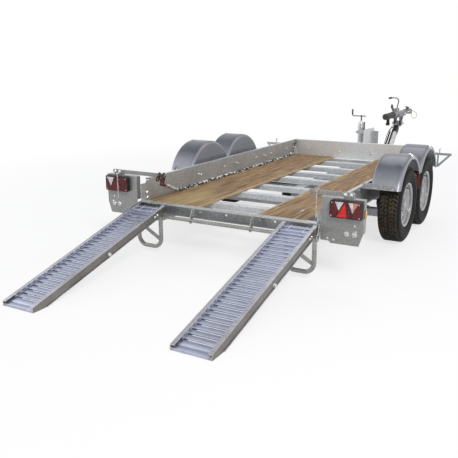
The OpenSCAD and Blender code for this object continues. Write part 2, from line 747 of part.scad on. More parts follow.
module ramp_rail(w0, w) {
  // side web with a taper at the toe, then its top and bottom flanges
  h = ramp_h / cos(ramp_a);
  t = ramp_t / cos(ramp_a);
  yt = -ramp_run;
  yb = -ramp_y0 - (ramp_top - h) / ramp_s;
  across(w0, ramp_t) polygon([[-ramp_y0, ramp_top], [yt, ramp_toe], [yt, 0], [yb, 0], [-ramp_y0, ramp_top - h]]);
  across(w0, w) polygon([[-ramp_y0, ramp_top], [yt, ramp_toe], [yt, ramp_toe - t], [-ramp_y0, ramp_top - t]]);
  across(w0, w) polygon([[-ramp_y0, ramp_top - h + t], [yb, t], [yt, t], [yt, 0], [yb, 0], [-ramp_y0, ramp_top - h]]);
}
module ramp_hook(x) difference() {
  across(x, hook_w) union() {
    translate([hook_y, hook_z]) circle(r = hook_d / 2 + 11, $fn = 64);
    polygon([[hook_y - 25, hook_z], [hook_y - 95, ramp_top - 72], [hook_y - 95, ramp_top - 38],
             [-ramp_y0, ramp_top - 18], [-ramp_y0, hook_z + 25], [hook_y + 20, hook_z + 14]]);
  }
  rod_x(x - 1, x + hook_w + 1, hook_y, hook_z, hook_d / 2 + hook_fit);
  translate([x - 1, hook_y - hook_d / 2 - hook_fit, hook_z - 60]) cube([hook_w + 2, hook_d + 2 * hook_fit, 60]);
}
module one_ramp() {
  ramp_rail(ramp_in, ramp_flange);
  translate([2 * ramp_in + ramp_w, 0, 0]) mirror([1, 0, 0]) ramp_rail(ramp_in, ramp_flange);
  w = ramp_w - 2 * ramp_t;
  start = 14;
  // as many treads as fit between the hooked end and the toe plate
  n = floor(((ramp_run - ramp_y0 - toe_l) / cos(ramp_a) - start - tread_w) / tread_pitch);
  for (i = [0:n]) translate([ramp_in + ramp_t, -ramp_y0, ramp_top]) rotate([ramp_a, 0, 0])
    translate([0, -start - tread_w - i * tread_pitch, -tread_sink]) {
      cube([w, tread_w, tread_t]);
      cube([w, tread_t, tread_lip]);
      translate([0, tread_w - tread_t, -6]) cube([w, tread_t, 6 + tread_t]);
    }
  // smooth toe plate
  toe_y = -ramp_run + toe_l;
  toe_top = toe_z + toe_l * ramp_s;
  across(ramp_in + ramp_t, w) polygon([[-ramp_run, 0], [-ramp_run, toe_z], [toe_y, toe_top],
    [toe_y, toe_top - tread_t], [-ramp_run + tread_t, toe_z - tread_t], [-ramp_run + tread_t, 0]]);
  for (x = [ramp_in + 70, ramp_in + ramp_w - 70 - hook_w]) ramp_hook(x);
  // cross bar between the hooks, and a lug on each side at mid-length
  across(ramp_in + ramp_t, w) polygon([[hook_y - 95, ramp_top - 62], [hook_y - 95, ramp_top - 46],
    [hook_y - 80, ramp_top - 42], [hook_y - 80, ramp_top - 58]]);
  lug_y = ramp_y0 + 700;
  lug_z = ramp_top - ramp_s * 700 - 40;
  lug_l = 12;
  rod_x(ramp_in - lug_l, ramp_in, -lug_y, lug_z, 9);
  rod_x(ramp_in + ramp_w, ramp_in + ramp_w + lug_l, -lug_y, lug_z, 9);
}
module ramp_left() color(alu) place() translate([-2 * ramp_in - ramp_w, 0, 0]) one_ramp();
module ramp_right() color(alu) place() one_ramp();

module drawbar_arm() color(steel) place() {
  // wall of the arm's box, and where the pins' heads start
  t = 5;
  head_x = arm_w / 2 + 24;
  translate([0, pivot_y, spine_z]) rotate([arm_angle, 0, 0]) {
    difference() {
      union() {
        difference() {
          translate([-arm_w / 2, 44, -arm_d / 2]) cube([arm_w, arm_l - 88, arm_d]);
          translate([-arm_w / 2 + t, 40, -arm_d / 2 + t]) cube([arm_w - 2 * t, arm_l - 80, arm_d - 2 * t]);
        }
        for (y = [0, arm_l]) rod_x(-arm_w / 2, arm_w / 2, y, 0, arm_d / 2);
        for (y = [10, arm_l - 50]) translate([-arm_w / 2, y, -arm_d / 2 + 6]) cube([arm_w, 40, arm_d - 12]);
      }
      for (y = [0, arm_l]) rod_x(-arm_w, arm_w, y, 0, pin_r + pin_fit);
    }
    for (y = [0, arm_l]) {
      rod_x(-head_x - 2, head_x + 2, y, 0, pin_r);
      rod_x(-head_x - 10, -head_x, y, 0, pin_r + 12);
      rod_x(head_x, head_x + 10, y, 0, pin_r + 12);
    }
  }
}

module overrun_housing() color([0.5, 0.51, 0.53]) place() {
  z = head_z;
  r = 44;
  difference() {
    union() {
      rod_y(0, up_y - house_l + 40, up_y + house_l, z, house_r);
      rod_y(0, up_y - house_l, up_y - house_l + 40, z, house_r + 12);
      // flat seat of the lock lever
      translate([-12, lock_y - 18, z + house_r - 6]) cube([24, 32, 20]);
      // slotted block round the brake lever's pin, and the block under the front end
      translate([-20, up_y - 190, z + 20]) cube([40, 150, 62]);
      translate([-34, up_y + 200, z - 44]) cube([68, 96, 60]);
      // saddle that joins the two cheeks to the tube
      translate([-arm_w / 2 - 16, up_y - 90, z - 46]) cube([arm_w + 32, 210, 24]);
    }
    rod_y(0, up_y - house_l - 1, up_y + house_l + 1, z, shaft_r + 1);
    rod_x(-21, 21, lever_y, lever_z, lever_r + pin_fit);
    translate([-7, lever_y - 40, z + 44]) cube([14, 112, 40]);
  }
  both() difference() {
    across(arm_w / 2 + 4, fork_t) union() {
      translate([up_y, up_z]) circle(r = r, $fn = 64);
      polygon([[up_y - r, up_z], [up_y - 90, z - 20], [up_y - 90, z], [up_y + 120, z], [up_y + 120, z - 30],
        [up_y + r, up_z]]);
    }
    rod_x(arm_w / 2, arm_w / 2 + 8 + fork_t, up_y, up_z, pin_r + pin_fit);
    rod_y(0, up_y - 200, up_y + 200, z, shaft_r + 1);
  }
}

// loop handle that locks the damper
module lock_lever() color(black) place() {
  z = head_z + house_r + 14;
  across(-5, 10) difference() {
    union() {
      translate([lock_y - 95, z + 72]) circle(r = 30, $fn = 48);
      polygon([[lock_y - 18, z], [lock_y + 14, z], [lock_y + 14, z + 10], [lock_y - 72, z + 92],
        [lock_y - 118, z + 54]]);
    }
    translate([lock_y - 95, z + 72]) circle(r = 17, $fn = 48);
  }
}

// boot of twelve folds, closed at its end
module rear_boot() color(black) place() translate([0, up_y - house_l - eps, head_z]) rotate([90, 0, 0])
  rotate_extrude($fn = 96) polygon(concat(
    [[30, 0], [30, boot_l - 6], [0, boot_l - 6], [0, boot_l], [boot_r - 6, boot_l]],
    [for (i = [11:-1:0]) each [[boot_r, i * fold + 24], [boot_r, i * fold + 10], [boot_r - 5, i * fold + 6],
      [boot_r - 5, i * fold + 1]]],
    [[boot_r, 0]]));

module coupling_head() color([0.45, 0.46, 0.48]) place() {
  y0 = up_y + house_l;
  // the ball's middle, the cup's radius and the height of its top
  ys = head_front - 62;
  r = 42;
  top = head_z + 32;
  difference() {
    union() {
      rod_y(0, up_y - 270, y0 + 70, head_z, shaft_r);
      rod_y(0, y0 + 62, y0 + 150, head_z, shaft_r + 12);
      translate([-r, y0 + 130, head_z - 30]) cube([2 * r, ys - y0 - 130, top - head_z + 30]);
      rod_z(0, ys, head_z - 40, top, r);
      translate([-r, ys, head_z - 30]) cube([2 * r, 30, 50]);
      translate([4 - r, head_front - 40, head_z - 24]) cube([2 * r - 8, 40, 44]);
    }
    rod_z(0, ys, head_z - 41, head_z, socket_r);
    translate([0, ys, head_z]) sphere(r = socket_r, $fn = 64);
    for (y = [y0 + 85, y0 + 125]) rod_x(-50, 50, y, head_z, 6.5);
  }
  // release handle on top
  across(-14, 28) polygon([[ys - 40, top], [ys - 10, top + 24], [y0 + 120, top + 46],
    [y0 + 112, top + 38], [ys - 90, top + 18], [ys - 120, top]]);
}

module brake_lever() color(black) place() {
  y = lever_y;
  z = lever_z;
  across(-6, 12) union() {
    translate([y, z]) circle(r = lever_r + 9, $fn = 48);
    polygon([[y - 9, z + 12], [y + 64, z + 104], [y + 60, z + 118], [y + 28, z + 134], [y - 66, z + 152],
      [y - 234, z + 166], [y - 404, z + 170], [y - 404, z + 190], [y - 230, z + 186], [y - 64, z + 174],
      [y + 48, z + 152], [y + 86, z + 122], [y + 86, z + 92], [y + 12, z - 9]]);
  }
  rod_x(-26, 26, y, z, lever_r);
  rod_y(0, y - 410, y - 300, z + 178, 13);
}

module plug() color(black) place() {
  x = -128;
  y = up_y - 60;
  z = up_z - 12;
  r = 18;
  t = 6;
  // bracket of thickness t from the housing's side, with the plug's body through it
  difference() {
    union() {
      translate([x - r - 4, y - t / 2, z - 24]) cube([2 * r + 8, t, 150]);
      translate([x - r - 4, y - 20, z + 120]) cube([r + 4 - x - arm_w / 2 - 16 - eps, 34, t]);
    }
    rod_y(x, y - 8, y + 8, z, r + eps);
    rod_y(0, y - 40, y + 40, head_z, house_r + eps);
  }
  rod_y(x, y - 50, y + 44, z, r);
  rod_y(x, y + t / 2 + eps, y + 16, z, r + 7);
  rod_y(x, y - 90, y - 50, z, 7);
}

// a round cord through hand-set points
function unit(v) = v / norm(v);
function curve(p, i, t) =
  let (n = len(p) - 1, a = p[max(i - 1, 0)], b = p[i], c = p[i + 1], d = p[min(i + 2, n)])
  0.5 * (2 * b + (c - a) * t + (2 * a - 5 * b + 4 * c - d) * t * t + (3 * b - a - 3 * c + d) * t * t * t);
function fine(p, k) =
  concat([for (i = [0:len(p) - 2]) for (j = [0:k - 1]) curve(p, i, j / k)], [p[len(p) - 1]]);
module cord(route, r, k, ref) {
  p = fine(route, k);
  n = len(p);
  s = 8;
  pts = [for (i = [0:n - 1])
    let (t = unit(p[min(i + 1, n - 1)] - p[max(i - 1, 0)]), u = unit(cross(t, ref)), v = cross(t, u))
    each [for (j = [0:s - 1]) p[i] + r * (cos(j * 45) * u + sin(j * 45) * v)]];
  polyhedron(pts, concat([[for (j = [0:s - 1]) j]], [[for (j = [s - 1:-1:0]) (n - 1) * s + j]],
    [for (i = [0:n - 2]) for (j = [0:s - 1])
      [i * s + j, (i + 1) * s + j, (i + 1) * s + (j + 1) % s, i * s + (j + 1) % s]]));
}

chain_r = 10;
chain_z = deck_z + chain_r + 2;
chain_route = [[-548, -4, 590], [-550, 3, 565], [-584, 110, 538], [-636, 230, 502],
  [-688, 350, 464], [-728, 470, 431], [-746, 600, chain_z], [-750, 860, chain_z], [-752, 1100, chain_z],
  [-746, 1340, chain_z], [-752, 1580, chain_z], [-748, 1820, chain_z], [-753, 2060, chain_z],
  [-748, 2300, chain_z], [-752, 2540, chain_z], [-748, 2780, chain_z], [-750, 2980, 436],
  [-752, 3084, 515], [-753, 3108, 580]];
module load_chain() color([0.55, 0.55, 0.55]) place() {
  cord(chain_route, chain_r, 5, [1, 0, 0]);
}

lamp_route = [[993, -1, 533], [996, 30, 520], [992, 90, 484], [965, 260, 455], [930, 460, 440],
  [900, 650, 425], [872, 880, 375], [850, 1010, 330], [815, 1130, 295], [770, 1200, 283], [710, 1236, 290],
  [671.2, 1240, 292]];
module lamp_cables() color(black) place() both() cord(lamp_route, 5, 5, [0, 0, 1]);

// the two brake cables, in the arm's own direction
cable_a = [[-34, 90, 0], [-62, 120, 4], [-84, 170, 8], [-88, 260, 10], [-88, 350, 10], [-82, 430, 8],
  [-62, 470, 4], [-34, 500, 0]];
cable_b = [[-35, 60, 16], [-50, 90, 26], [-58, 150, 34], [-60, 250, 40], [-60, 350, 40], [-58, 440, 34],
  [-50, 490, 26], [-35, 520, 16]];
module arm_cables() color(black) place() translate([0, pivot_y, spine_z]) rotate([arm_angle, 0, 0]) {
  cord(cable_a, 5, 5, [0, 0, 1]);
  cord(cable_b, 5, 5, [0, 0, 1]);
}

loop_route = [[40, 0, 6], [52, 14, 4], [84, 34, -14], [112, 40, -52], [104, 34, -96], [72, 22, -112],
  [48, 8, -84], [43, -4, -44], [39, -8, -18]];
module breakaway_cable() color([0.5, 0.5, 0.4]) place() translate([0, head_front - 60, head_z])
  cord([for (p = loop_route) p + [6, 0, 0]], 3, 4, [0, 1, 0]);

rear_beam();
hook_bar();
rear_legs();
chassis_rails();
centre_beam();
cross_members();
side_boards();
corner_brackets();
front_board();
track_strips();
axle_tubes();
axle_arms();
mudguards();
outriggers();
lamp_boards();
lamp_bodies();
lamp_lenses();
side_markers();
ramp_bars();
load_chain();
lamp_cables();
jack_mount();
jack_tube();
jack_leg();
jack_wheel();
jack_crank();
ramp_left();
ramp_right();
at_wheel(-1, axle_y) tyre_shape();  // tyre_rear_left
at_wheel(1, axle_y) tyre_shape();  // tyre_rear_right
at_wheel(-1, axle_y2) tyre_shape();  // tyre_front_left
at_wheel(1, axle_y2) tyre_shape();  // tyre_front_right
at_wheel(-1, axle_y) rim_shape();  // rim_rear_left
at_wheel(1, axle_y) rim_shape();  // rim_rear_right
at_wheel(-1, axle_y2) rim_shape();  // rim_front_left
at_wheel(1, axle_y2) rim_shape();  // rim_front_right
drawbar_arm();
arm_cables();
plug();
overrun_housing();
rear_boot();
coupling_head();
brake_lever();
breakaway_cable();
lock_lever();
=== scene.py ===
import math
import random

import bmesh
import bpy
from mathutils import Matrix, Vector


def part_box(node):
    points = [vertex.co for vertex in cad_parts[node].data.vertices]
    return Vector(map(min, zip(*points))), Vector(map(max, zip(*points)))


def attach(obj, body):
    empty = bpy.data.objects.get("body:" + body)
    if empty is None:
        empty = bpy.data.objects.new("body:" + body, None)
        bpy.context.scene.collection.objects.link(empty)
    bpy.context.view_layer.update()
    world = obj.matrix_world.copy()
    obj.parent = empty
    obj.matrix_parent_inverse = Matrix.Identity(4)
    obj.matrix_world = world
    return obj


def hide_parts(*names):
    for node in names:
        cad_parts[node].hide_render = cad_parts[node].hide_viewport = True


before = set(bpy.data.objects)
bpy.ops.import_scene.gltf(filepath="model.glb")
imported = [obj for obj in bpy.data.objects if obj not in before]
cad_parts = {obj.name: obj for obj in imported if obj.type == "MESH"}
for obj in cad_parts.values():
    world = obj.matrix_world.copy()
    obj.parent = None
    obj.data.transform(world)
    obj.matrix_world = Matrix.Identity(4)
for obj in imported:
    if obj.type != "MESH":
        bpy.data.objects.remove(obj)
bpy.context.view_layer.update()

# Camera
# The photograph was taken from behind the trailer's right-hand corner, at an adult's eye height.
# Its place, direction and lens were found by fitting the trailer's straight edges.
eye = Vector((2.318, -6.071, 1.507))
turn, tilt, roll = math.radians(29.68), math.radians(15.09), math.radians(-0.22)
camera = bpy.data.objects.new("camera", bpy.data.cameras.new("camera"))
bpy.context.scene.collection.objects.link(camera)
camera.data.sensor_width = 36
camera.data.lens = 48.33
camera.data.clip_end = 200
camera.matrix_world = (
    Matrix.Translation(eye)
    @ Matrix.Rotation(turn, 4, "Z")
    @ Matrix.Rotation(math.pi / 2 - tilt, 4, "X")
    @ Matrix.Rotation(roll, 4, "Z")
)
bpy.context.scene.camera = camera

# Studio
# A pale seamless floor under a white sky, lit by one soft lamp behind the camera's right shoulder, a wide
# one overhead and a weak one on the left. The camera, the metal and the lenses see plain white all round.
bpy.context.scene.view_settings.view_transform = "Standard"
FLOOR_TONE = (0.90, 0.90, 0.90, 1)
SKY_LIGHT = 0.40
KEY_WATTS, TOP_WATTS, FILL_WATTS = 500, 120, 110


def join(tree, *pairs):
    for source, target in pairs:
        tree.links.new(source, target)


def put_in(socket, value):
    """Sets a socket to a number or a colour, or links it to a value."""
    if isinstance(value, Value):
        value.feed(socket)
    elif hasattr(value, "__len__") and len(socket.default_value) == 4:
        socket.default_value = (*value[:3], 1)
    else:
        socket.default_value = value


class Value:
    """A number or a colour that changes over a surface, so that its sums are written as sums."""

    def __init__(self, tree, socket):
        self.tree, self.socket = tree, socket

    def feed(self, socket):
        self.tree.links.new(self.socket, socket)

    def math(self, operation, *others):
        return node_math(self.tree, operation, self, *others)

    def limited(self):
        """The same value, held between 0 and 1."""
        self.socket.node.use_clamp = True
        return self

    def span(self, low, high, to_low=0.0, to_high=1.0):
        """Goes from 0 to 1, or from to_low to to_high, while the value goes from low to high."""
        node = self.tree.nodes.new("ShaderNodeMapRange")
        # its inputs are the value, the two ends that it comes from and the two that it goes to
        for place, number in enumerate((self, low, high, to_low, to_high)):
            put_in(node.inputs[place], number)
        return Value(self.tree, node.outputs["Result"])

    def mix(self, a, b):
        """A colour that goes from a to b while the value goes from 0 to 1."""
        node = self.tree.nodes.new("ShaderNodeMix")
        node.data_type = "RGBA"
        for place, value in ((0, self), (6, a), (7, b)):
            put_in(node.inputs[place], value)
        return Value(self.tree, node.outputs[2])

    def __add__(self, other):
        return self.math("ADD", other)

    def __sub__(self, other):
        return self.math("SUBTRACT", other)

    def __rsub__(self, other):
        return node_math(self.tree, "SUBTRACT", other, self)

    def __mul__(self, other):
        return self.math("MULTIPLY", other)

    def __truediv__(self, other):
        return self.math("DIVIDE", other)

    def __abs__(self):
        return self.math("ABSOLUTE")


def node_math(tree, operation, *values):
    node = tree.nodes.new("ShaderNodeMath")
    node.operation = operation
    for socket, value in zip(node.inputs, values):
        put_in(socket, value)
    return Value(tree, node.outputs[0])


def white_to_camera(tree, background, white, output, share=None):
    """The camera, mirrors and glass see a share of the white, and the rest is lit by the background."""
    seen, choose = tree.nodes.new("ShaderNodeLightPath"), tree.nodes.new("ShaderNodeMixShader")
    camera_ray, mirror_ray, glass_ray = (
        Value(tree, seen.outputs["Is %s Ray" % kind]) for kind in ("Camera", "Glossy", "Transmission")
    )
    plain = camera_ray.math("MAXIMUM", mirror_ray).math("MAXIMUM", glass_ray)
    (plain * share if share else plain).feed(choose.inputs["Fac"])
    join(
        tree,
        (background.outputs[0], choose.inputs[1]),
        (white.outputs[0], choose.inputs[2]),
        (choose.outputs[0], output.inputs["Surface"]),
    )


sky = bpy.data.worlds.new("studio_sky")
bpy.context.scene.world = sky
sky.use_nodes = True
tree = sky.node_tree
for node in list(tree.nodes):
    tree.nodes.remove(node)
dome, white = tree.nodes.new("ShaderNodeBackground"), tree.nodes.new("ShaderNodeBackground")
dome.inputs["Color"].default_value = (0.94, 0.97, 1.0, 1)
dome.inputs["Strength"].default_value = SKY_LIGHT
white.inputs["Color"].default_value = (1, 1, 1, 1)
white_to_camera(tree, dome, white, tree.nodes.new("ShaderNodeOutputWorld"))


def soft_lamp(name, place, aim, size, watts, tone):
    lamp = bpy.data.objects.new(name, bpy.data.lights.new(name, "AREA"))
    lamp.data.size = size
    lamp.data.energy = watts
    lamp.data.color = tone
    lamp.location = place
    lamp.rotation_euler = (Vector(aim) - Vector(place)).to_track_quat("-Z", "Y").to_euler()
    bpy.context.scene.collection.objects.link(lamp)


soft_lamp("key_lamp", (5.2, -7.2, 6.0), (0, 0, 0.3), 2.6, KEY_WATTS, (1, 0.985, 0.96))
soft_lamp("fill_lamp", (-6.0, -3.0, 4.0), (0, 0, 0.4), 5.0, FILL_WATTS, (0.95, 0.97, 1))
soft_lamp("top_lamp", (0.6, 2.2, 5.6), (0, 0.2, 0.3), 4.2, TOP_WATTS, (1, 1, 1))

FLOOR_HALF, FLOOR_Z = 40, -0.0005
floor_mesh = bpy.data.meshes.new("floor")
floor_signs = ((-1, -1), (1, -1), (1, 1), (-1, 1))
floor_corners = [(FLOOR_HALF * x, FLOOR_HALF * y, FLOOR_Z) for x, y in floor_signs]
floor_mesh.from_pydata(floor_corners, [], [(0, 1, 2, 3)])
floor = bpy.data.objects.new("floor", floor_mesh)
bpy.context.scene.collection.objects.link(floor)
pale = bpy.data.materials.new("pale_floor")
pale.use_nodes = True
tree = pale.node_tree
surface = tree.nodes["Principled BSDF"]
surface.inputs["Base Color"].default_value = FLOOR_TONE
surface.inputs["Roughness"].default_value = 0.9
surface.inputs["Specular IOR Level"].default_value = 0.0
# the floor keeps the shadow near the trailer and fades to plain white further out
place, reach = tree.nodes.new("ShaderNodeTexCoord"), tree.nodes.new("ShaderNodeVectorMath")
reach.operation = "LENGTH"
fade = tree.nodes.new("ShaderNodeMapRange")
fade.interpolation_type = "SMOOTHSTEP"
for label, number in (("From Min", 1.5), ("From Max", 6.5), ("To Min", 0.70), ("To Max", 1.0)):
    fade.inputs[label].default_value = number
join(tree, (place.outputs["Object"], reach.inputs[0]), (reach.outputs["Value"], fade.inputs["Value"]))
glow, output = tree.nodes.new("ShaderNodeEmission"), tree.nodes["Material Output"]
white_to_camera(tree, surface, glow, output, Value(tree, fade.outputs["Result"]))
floor_mesh.materials.append(pale)


# Chassis steel
# Two box rails, a centre beam, top-hat cross members and two axle tubes of mild steel, welded up and
# then dipped whole in molten zinc, which freezes in grey crystals with dull runs and brighter edges.
def new_group(name, inputs, outputs):
    group = bpy.data.node_groups.new(name, "ShaderNodeTree")
    for label, value in inputs:
        socket = group.interface.new_socket(name=label, in_out="INPUT", socket_type="NodeSocketFloat")
        socket.default_value = value
    for label, kind in outputs:
        group.interface.new_socket(name=label, in_out="OUTPUT", socket_type="NodeSocket" + kind)
    given = group.nodes.new("NodeGroupInput")
    return group, values_of(group, given), group.nodes.new("NodeGroupOutput").inputs


def values_of(tree, node):
    """What a node puts out, by name."""
    return {socket.name: Value(tree, socket) for socket in node.outputs if socket.name}


def add_noise(place, scale, detail=3.0, rough=0.55):
    node = place.tree.nodes.new("ShaderNodeTexNoise")
    place.feed(node.inputs["Vector"])
    for label, value in (("Scale", scale), ("Detail", detail), ("Roughness", rough)):
        put_in(node.inputs[label], value)
    return Value(place.tree, node.outputs["Fac"])


def add_stretch(tree, x, y, z):
    """Object coordinates drawn out along one or two directions."""
    place, stretch = tree.nodes.new("ShaderNodeTexCoord"), tree.nodes.new("ShaderNodeMapping")
    stretch.inputs["Scale"].default_value = (x, y, z)
    join(tree, (place.outputs["Object"], stretch.inputs["Vector"]))
    return Value(tree, stretch.outputs["Vector"])


def add_axes(tree):
    """Object coordinates, whole and split into X, Y and Z."""
    place, split = tree.nodes.new("ShaderNodeTexCoord"), tree.nodes.new("ShaderNodeSeparateXYZ")
    join(tree, (place.outputs["Object"], split.inputs[0]))
    return Value(tree, place.outputs["Object"]), values_of(tree, split)


def add_facing(tree, normal="True Normal"):
    """The way that a face looks, split into X, Y and Z."""
    shape, facing = tree.nodes.new("ShaderNodeNewGeometry"), tree.nodes.new("ShaderNodeSeparateXYZ")
    join(tree, (shape.outputs[normal], facing.inputs[0]))
    return values_of(tree, facing)


def edge_wear_group():
    """Masks the outer edges of a piece, and rounds its normal there as a deburred edge is."""
    group, given, out = new_group(
        "edge_wear", [("Radius", 0.003), ("Amount", 4.0)], [("Edge", "Float"), ("Normal", "Vector")]
    )
    bevel, shape = group.nodes.new("ShaderNodeBevel"), group.nodes.new("ShaderNodeNewGeometry")
    bevel.samples = 4
    likeness = group.nodes.new("ShaderNodeVectorMath")
    likeness.operation = "DOT_PRODUCT"
    given["Radius"].feed(bevel.inputs["Radius"])
    join(
        group,
        (bevel.outputs["Normal"], likeness.inputs[0]),
        (shape.outputs["Normal"], likeness.inputs[1]),
        (bevel.outputs["Normal"], out["Normal"]),
    )
    bent = (1.0 - Value(group, likeness.outputs["Value"])).limited()
    (bent * given["Amount"]).limited().feed(out["Edge"])
    return group


def road_dirt_group():
    """Patches of dried road spray, thicker towards the ground."""
    group, given, out = new_group(
        "road_dirt", [("Amount", 0.4), ("Height", 0.5), ("Scale", 9.0)], [("Dirt", "Float")]
    )
    place, split = add_axes(group)
    blotch = add_noise(place, given["Scale"], 6, 0.65).span(0.42, 0.68)
    low = (1.0 - split["Z"] / given["Height"]).limited()
    (blotch * (low * 0.7 + 0.3) * given["Amount"]).limited().feed(out["Dirt"])
    return group


def zinc_group():
    """The tone and the faint relief of a hot-dipped zinc skin."""
    group, given, out = new_group(
        "zinc_crystals",
        [("Size", 70.0), ("Contrast", 0.5), ("Runs", 0.5)],
        [("Tone", "Float"), ("Height", "Float")],
    )
    place, _ = add_axes(group)
    shake, pull = group.nodes.new("ShaderNodeTexNoise"), group.nodes.new("ShaderNodeVectorMath")
    warp, cells = group.nodes.new("ShaderNodeVectorMath"), group.nodes.new("ShaderNodeTexVoronoi")
    crystal = group.nodes.new("ShaderNodeSeparateColor")
    shake.inputs["Scale"].default_value = 55
    pull.operation, pull.inputs["Scale"].default_value = "SCALE", 0.012
    warp.operation = "ADD"
    place.feed(shake.inputs["Vector"])
    place.feed(warp.inputs[0])
    given["Size"].feed(cells.inputs["Scale"])
    join(
        group,
        (shake.outputs["Color"], pull.inputs[0]),
        (pull.outputs[0], warp.inputs[1]),
        (warp.outputs[0], cells.inputs["Vector"]),
        (cells.outputs["Color"], crystal.inputs[0]),
    )
    grain, bumps = Value(group, crystal.outputs[0]), Value(group, crystal.outputs[1])
    drawn = add_noise(add_stretch(group, 1, 1, 0.18), 26, 4, 0.6)
    cloud = add_noise(place, 3.5, 5)
    tone = (grain - 0.5) * given["Contrast"] + (drawn - 0.5) * given["Runs"] + (cloud - 0.5) * 0.9
    (tone + 0.5).limited().feed(out["Tone"])
    (bumps * 0.6 + add_noise(place, 260, 2)).feed(out["Height"])
    return group


EDGE_WEAR, ROAD_DIRT, ZINC = edge_wear_group(), road_dirt_group(), zinc_group()


def place_group(tree, group, **values):
    """Places a group in a material with its own values, and gives what it puts out."""
    node = tree.nodes.new("ShaderNodeGroup")
    node.node_tree = group
    for label, value in values.items():
        node.inputs[label].default_value = value
    return values_of(tree, node)


def new_finish(name, roughness, metallic=0.0, **sockets):
    """A new material, its node tree and the inputs of its surface shader."""
    finish = bpy.data.materials.new(name)
    finish.use_nodes = True
    surface = finish.node_tree.nodes["Principled BSDF"].inputs
    surface["Roughness"].default_value = roughness
    surface["Metallic"].default_value = metallic
    for label, value in sockets.items():
        surface[label.replace("_", " ")].default_value = value
    return finish, finish.node_tree, surface


def add_bump(surface, height, distance, strength=0.4, normal=None):
    bump = height.tree.nodes.new("ShaderNodeBump")
    bump.inputs["Strength"].default_value = strength
    bump.inputs["Distance"].default_value = distance
    height.feed(bump.inputs["Height"])
    if normal:
        normal.feed(bump.inputs["Normal"])
    join(height.tree, (bump.outputs["Normal"], surface["Normal"]))


DRY_MUD = (0.17, 0.15, 0.13)


def wear_edges(colour, share, bare, radius, amount):
    """Mixes in what lies under the skin along the edges, and gives the rounded normal too."""
    edge = place_group(colour.tree, EDGE_WEAR, Radius=radius, Amount=amount)
    return (edge["Edge"] * share).mix(colour, bare), edge["Normal"]


def soil(surface, colour, amount, height, scale, mud=DRY_MUD):
    """Lays road dirt over the colour and gives it to the surface."""
    grime = place_group(colour.tree, ROAD_DIRT, Amount=amount, Height=height, Scale=scale)
    grime["Dirt"].mix(colour, mud).feed(surface["Base Color"])


def zinc_finish(
        name, dark, light, size=110, contrast=0.55, runs=0.5, rough=0.42, dirt=0.35, metallic=0.55):
    """A dipped zinc skin whose crystals, of one size, run from dark to light in tone."""
    finish, tree, surface = new_finish(name, rough, metallic)
    zinc = place_group(tree, ZINC, Size=size, Contrast=contrast, Runs=runs)
    metal, normal = wear_edges(zinc["Tone"].mix(dark, light), 0.5, (0.80, 0.81, 0.82), 0.003, 5.0)
    soil(surface, metal, dirt, 0.6, 11.0)
    zinc["Tone"].span(0, 1, rough + 0.14, rough - 0.12).feed(surface["Roughness"])
    add_bump(surface, zinc["Height"], 0.0006, 0.35, normal)
    return finish


def dress(finish, *nodes):
    for node in nodes:
        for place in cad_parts[node].material_slots:
            place.material = finish


# the rails, centre beam and axle tubes take a darker copy of the zinc: painted shade under the deck
shaded_frame_zinc = zinc_finish("shaded_frame_zinc", (0.24, 0.25, 0.27), (0.50, 0.52, 0.55))
dress(shaded_frame_zinc, "chassis_rails", "centre_beam", "axle_tubes")
# the cross members take a lighter copy of the zinc: painted light on their tops
lit_cross_zinc = zinc_finish(
    "lit_cross_zinc", (0.38, 0.40, 0.42), (0.68, 0.70, 0.73), size=130, contrast=0.7, rough=0.52, dirt=0.08,
    metallic=0.1,
)
dress(lit_cross_zinc, "cross_members")

# Rear beam
# A cold-formed channel across the back, open to the rear, with the tubular bar that the ramps hook on
# held below it by four welded cheeks, and two bent-tube legs that hang on the bar while loading.
rear_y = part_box("rear_beam")[0].y
BEAM_TOP, BEAM_LOW, BEAM_END = 0.405, 0.325, 0.790
BAR_Y, BAR_Z = -0.032, 0.312


def at(x, y, z):
    """A place measured in metres from the middle of the rear beam's face."""
    return Vector((x, rear_y + y, z))


class Stock:
    """Metal cut, bent and turned to shape, laid together before it becomes one piece."""

    def __init__(self):
        self.points, self.faces = [], []

    def add(self, points, faces):
        start = len(self.points)
        self.points.extend(Vector(p) for p in points)
        self.faces.extend(tuple(start + i for i in face) for face in faces)


def ring_faces(rings, closed=False):
    """The faces between rings of points, where a ring of one point is a tip."""
    faces = []
    pairs = list(zip(rings, rings[1:])) + ([(rings[-1], rings[0])] if closed else [])
    for a, b in pairs:
        for i in range(max(len(a), len(b))):
            j = (i + 1) % max(len(a), len(b))
            if len(a) == 1:
                faces.append((a[0], b[j], b[i]))
            elif len(b) == 1:
                faces.append((a[i], a[j], b[0]))
            else:
                faces.append((a[i], a[j], b[j], b[i]))
    return faces


def skin_rings(stock, rings, closed=False, capped=False):
    """Lays faces between rings of places, and over the two end rings if they are capped."""
    points, numbers = [], []
    for ring in rings:
        numbers.append(list(range(len(points), len(points) + len(ring))))
        points += ring
    faces = ring_faces(numbers, closed)
    if capped:
        faces += [tuple(reversed(numbers[0])), tuple(numbers[-1])]
    stock.add(points, faces)


def add_turned(stock, outline, place, axis=(0, 0, 1), sides=24):
    """A part turned in a lathe: pairs of radius and height, spun about an axis."""
    lie = Vector(axis).to_track_quat("Z", "Y")
    angles = [2 * math.pi * i / sides for i in range(sides)]
    rings = []
    for radius, height in outline:
        # a radius of nothing is a tip, with one point
        around = angles if radius > 1e-6 else angles[:1]
        spots = [Vector((radius * math.cos(a), radius * math.sin(a), height)) for a in around]
        rings.append([Vector(place) + lie @ spot for spot in spots])
    skin_rings(stock, rings)


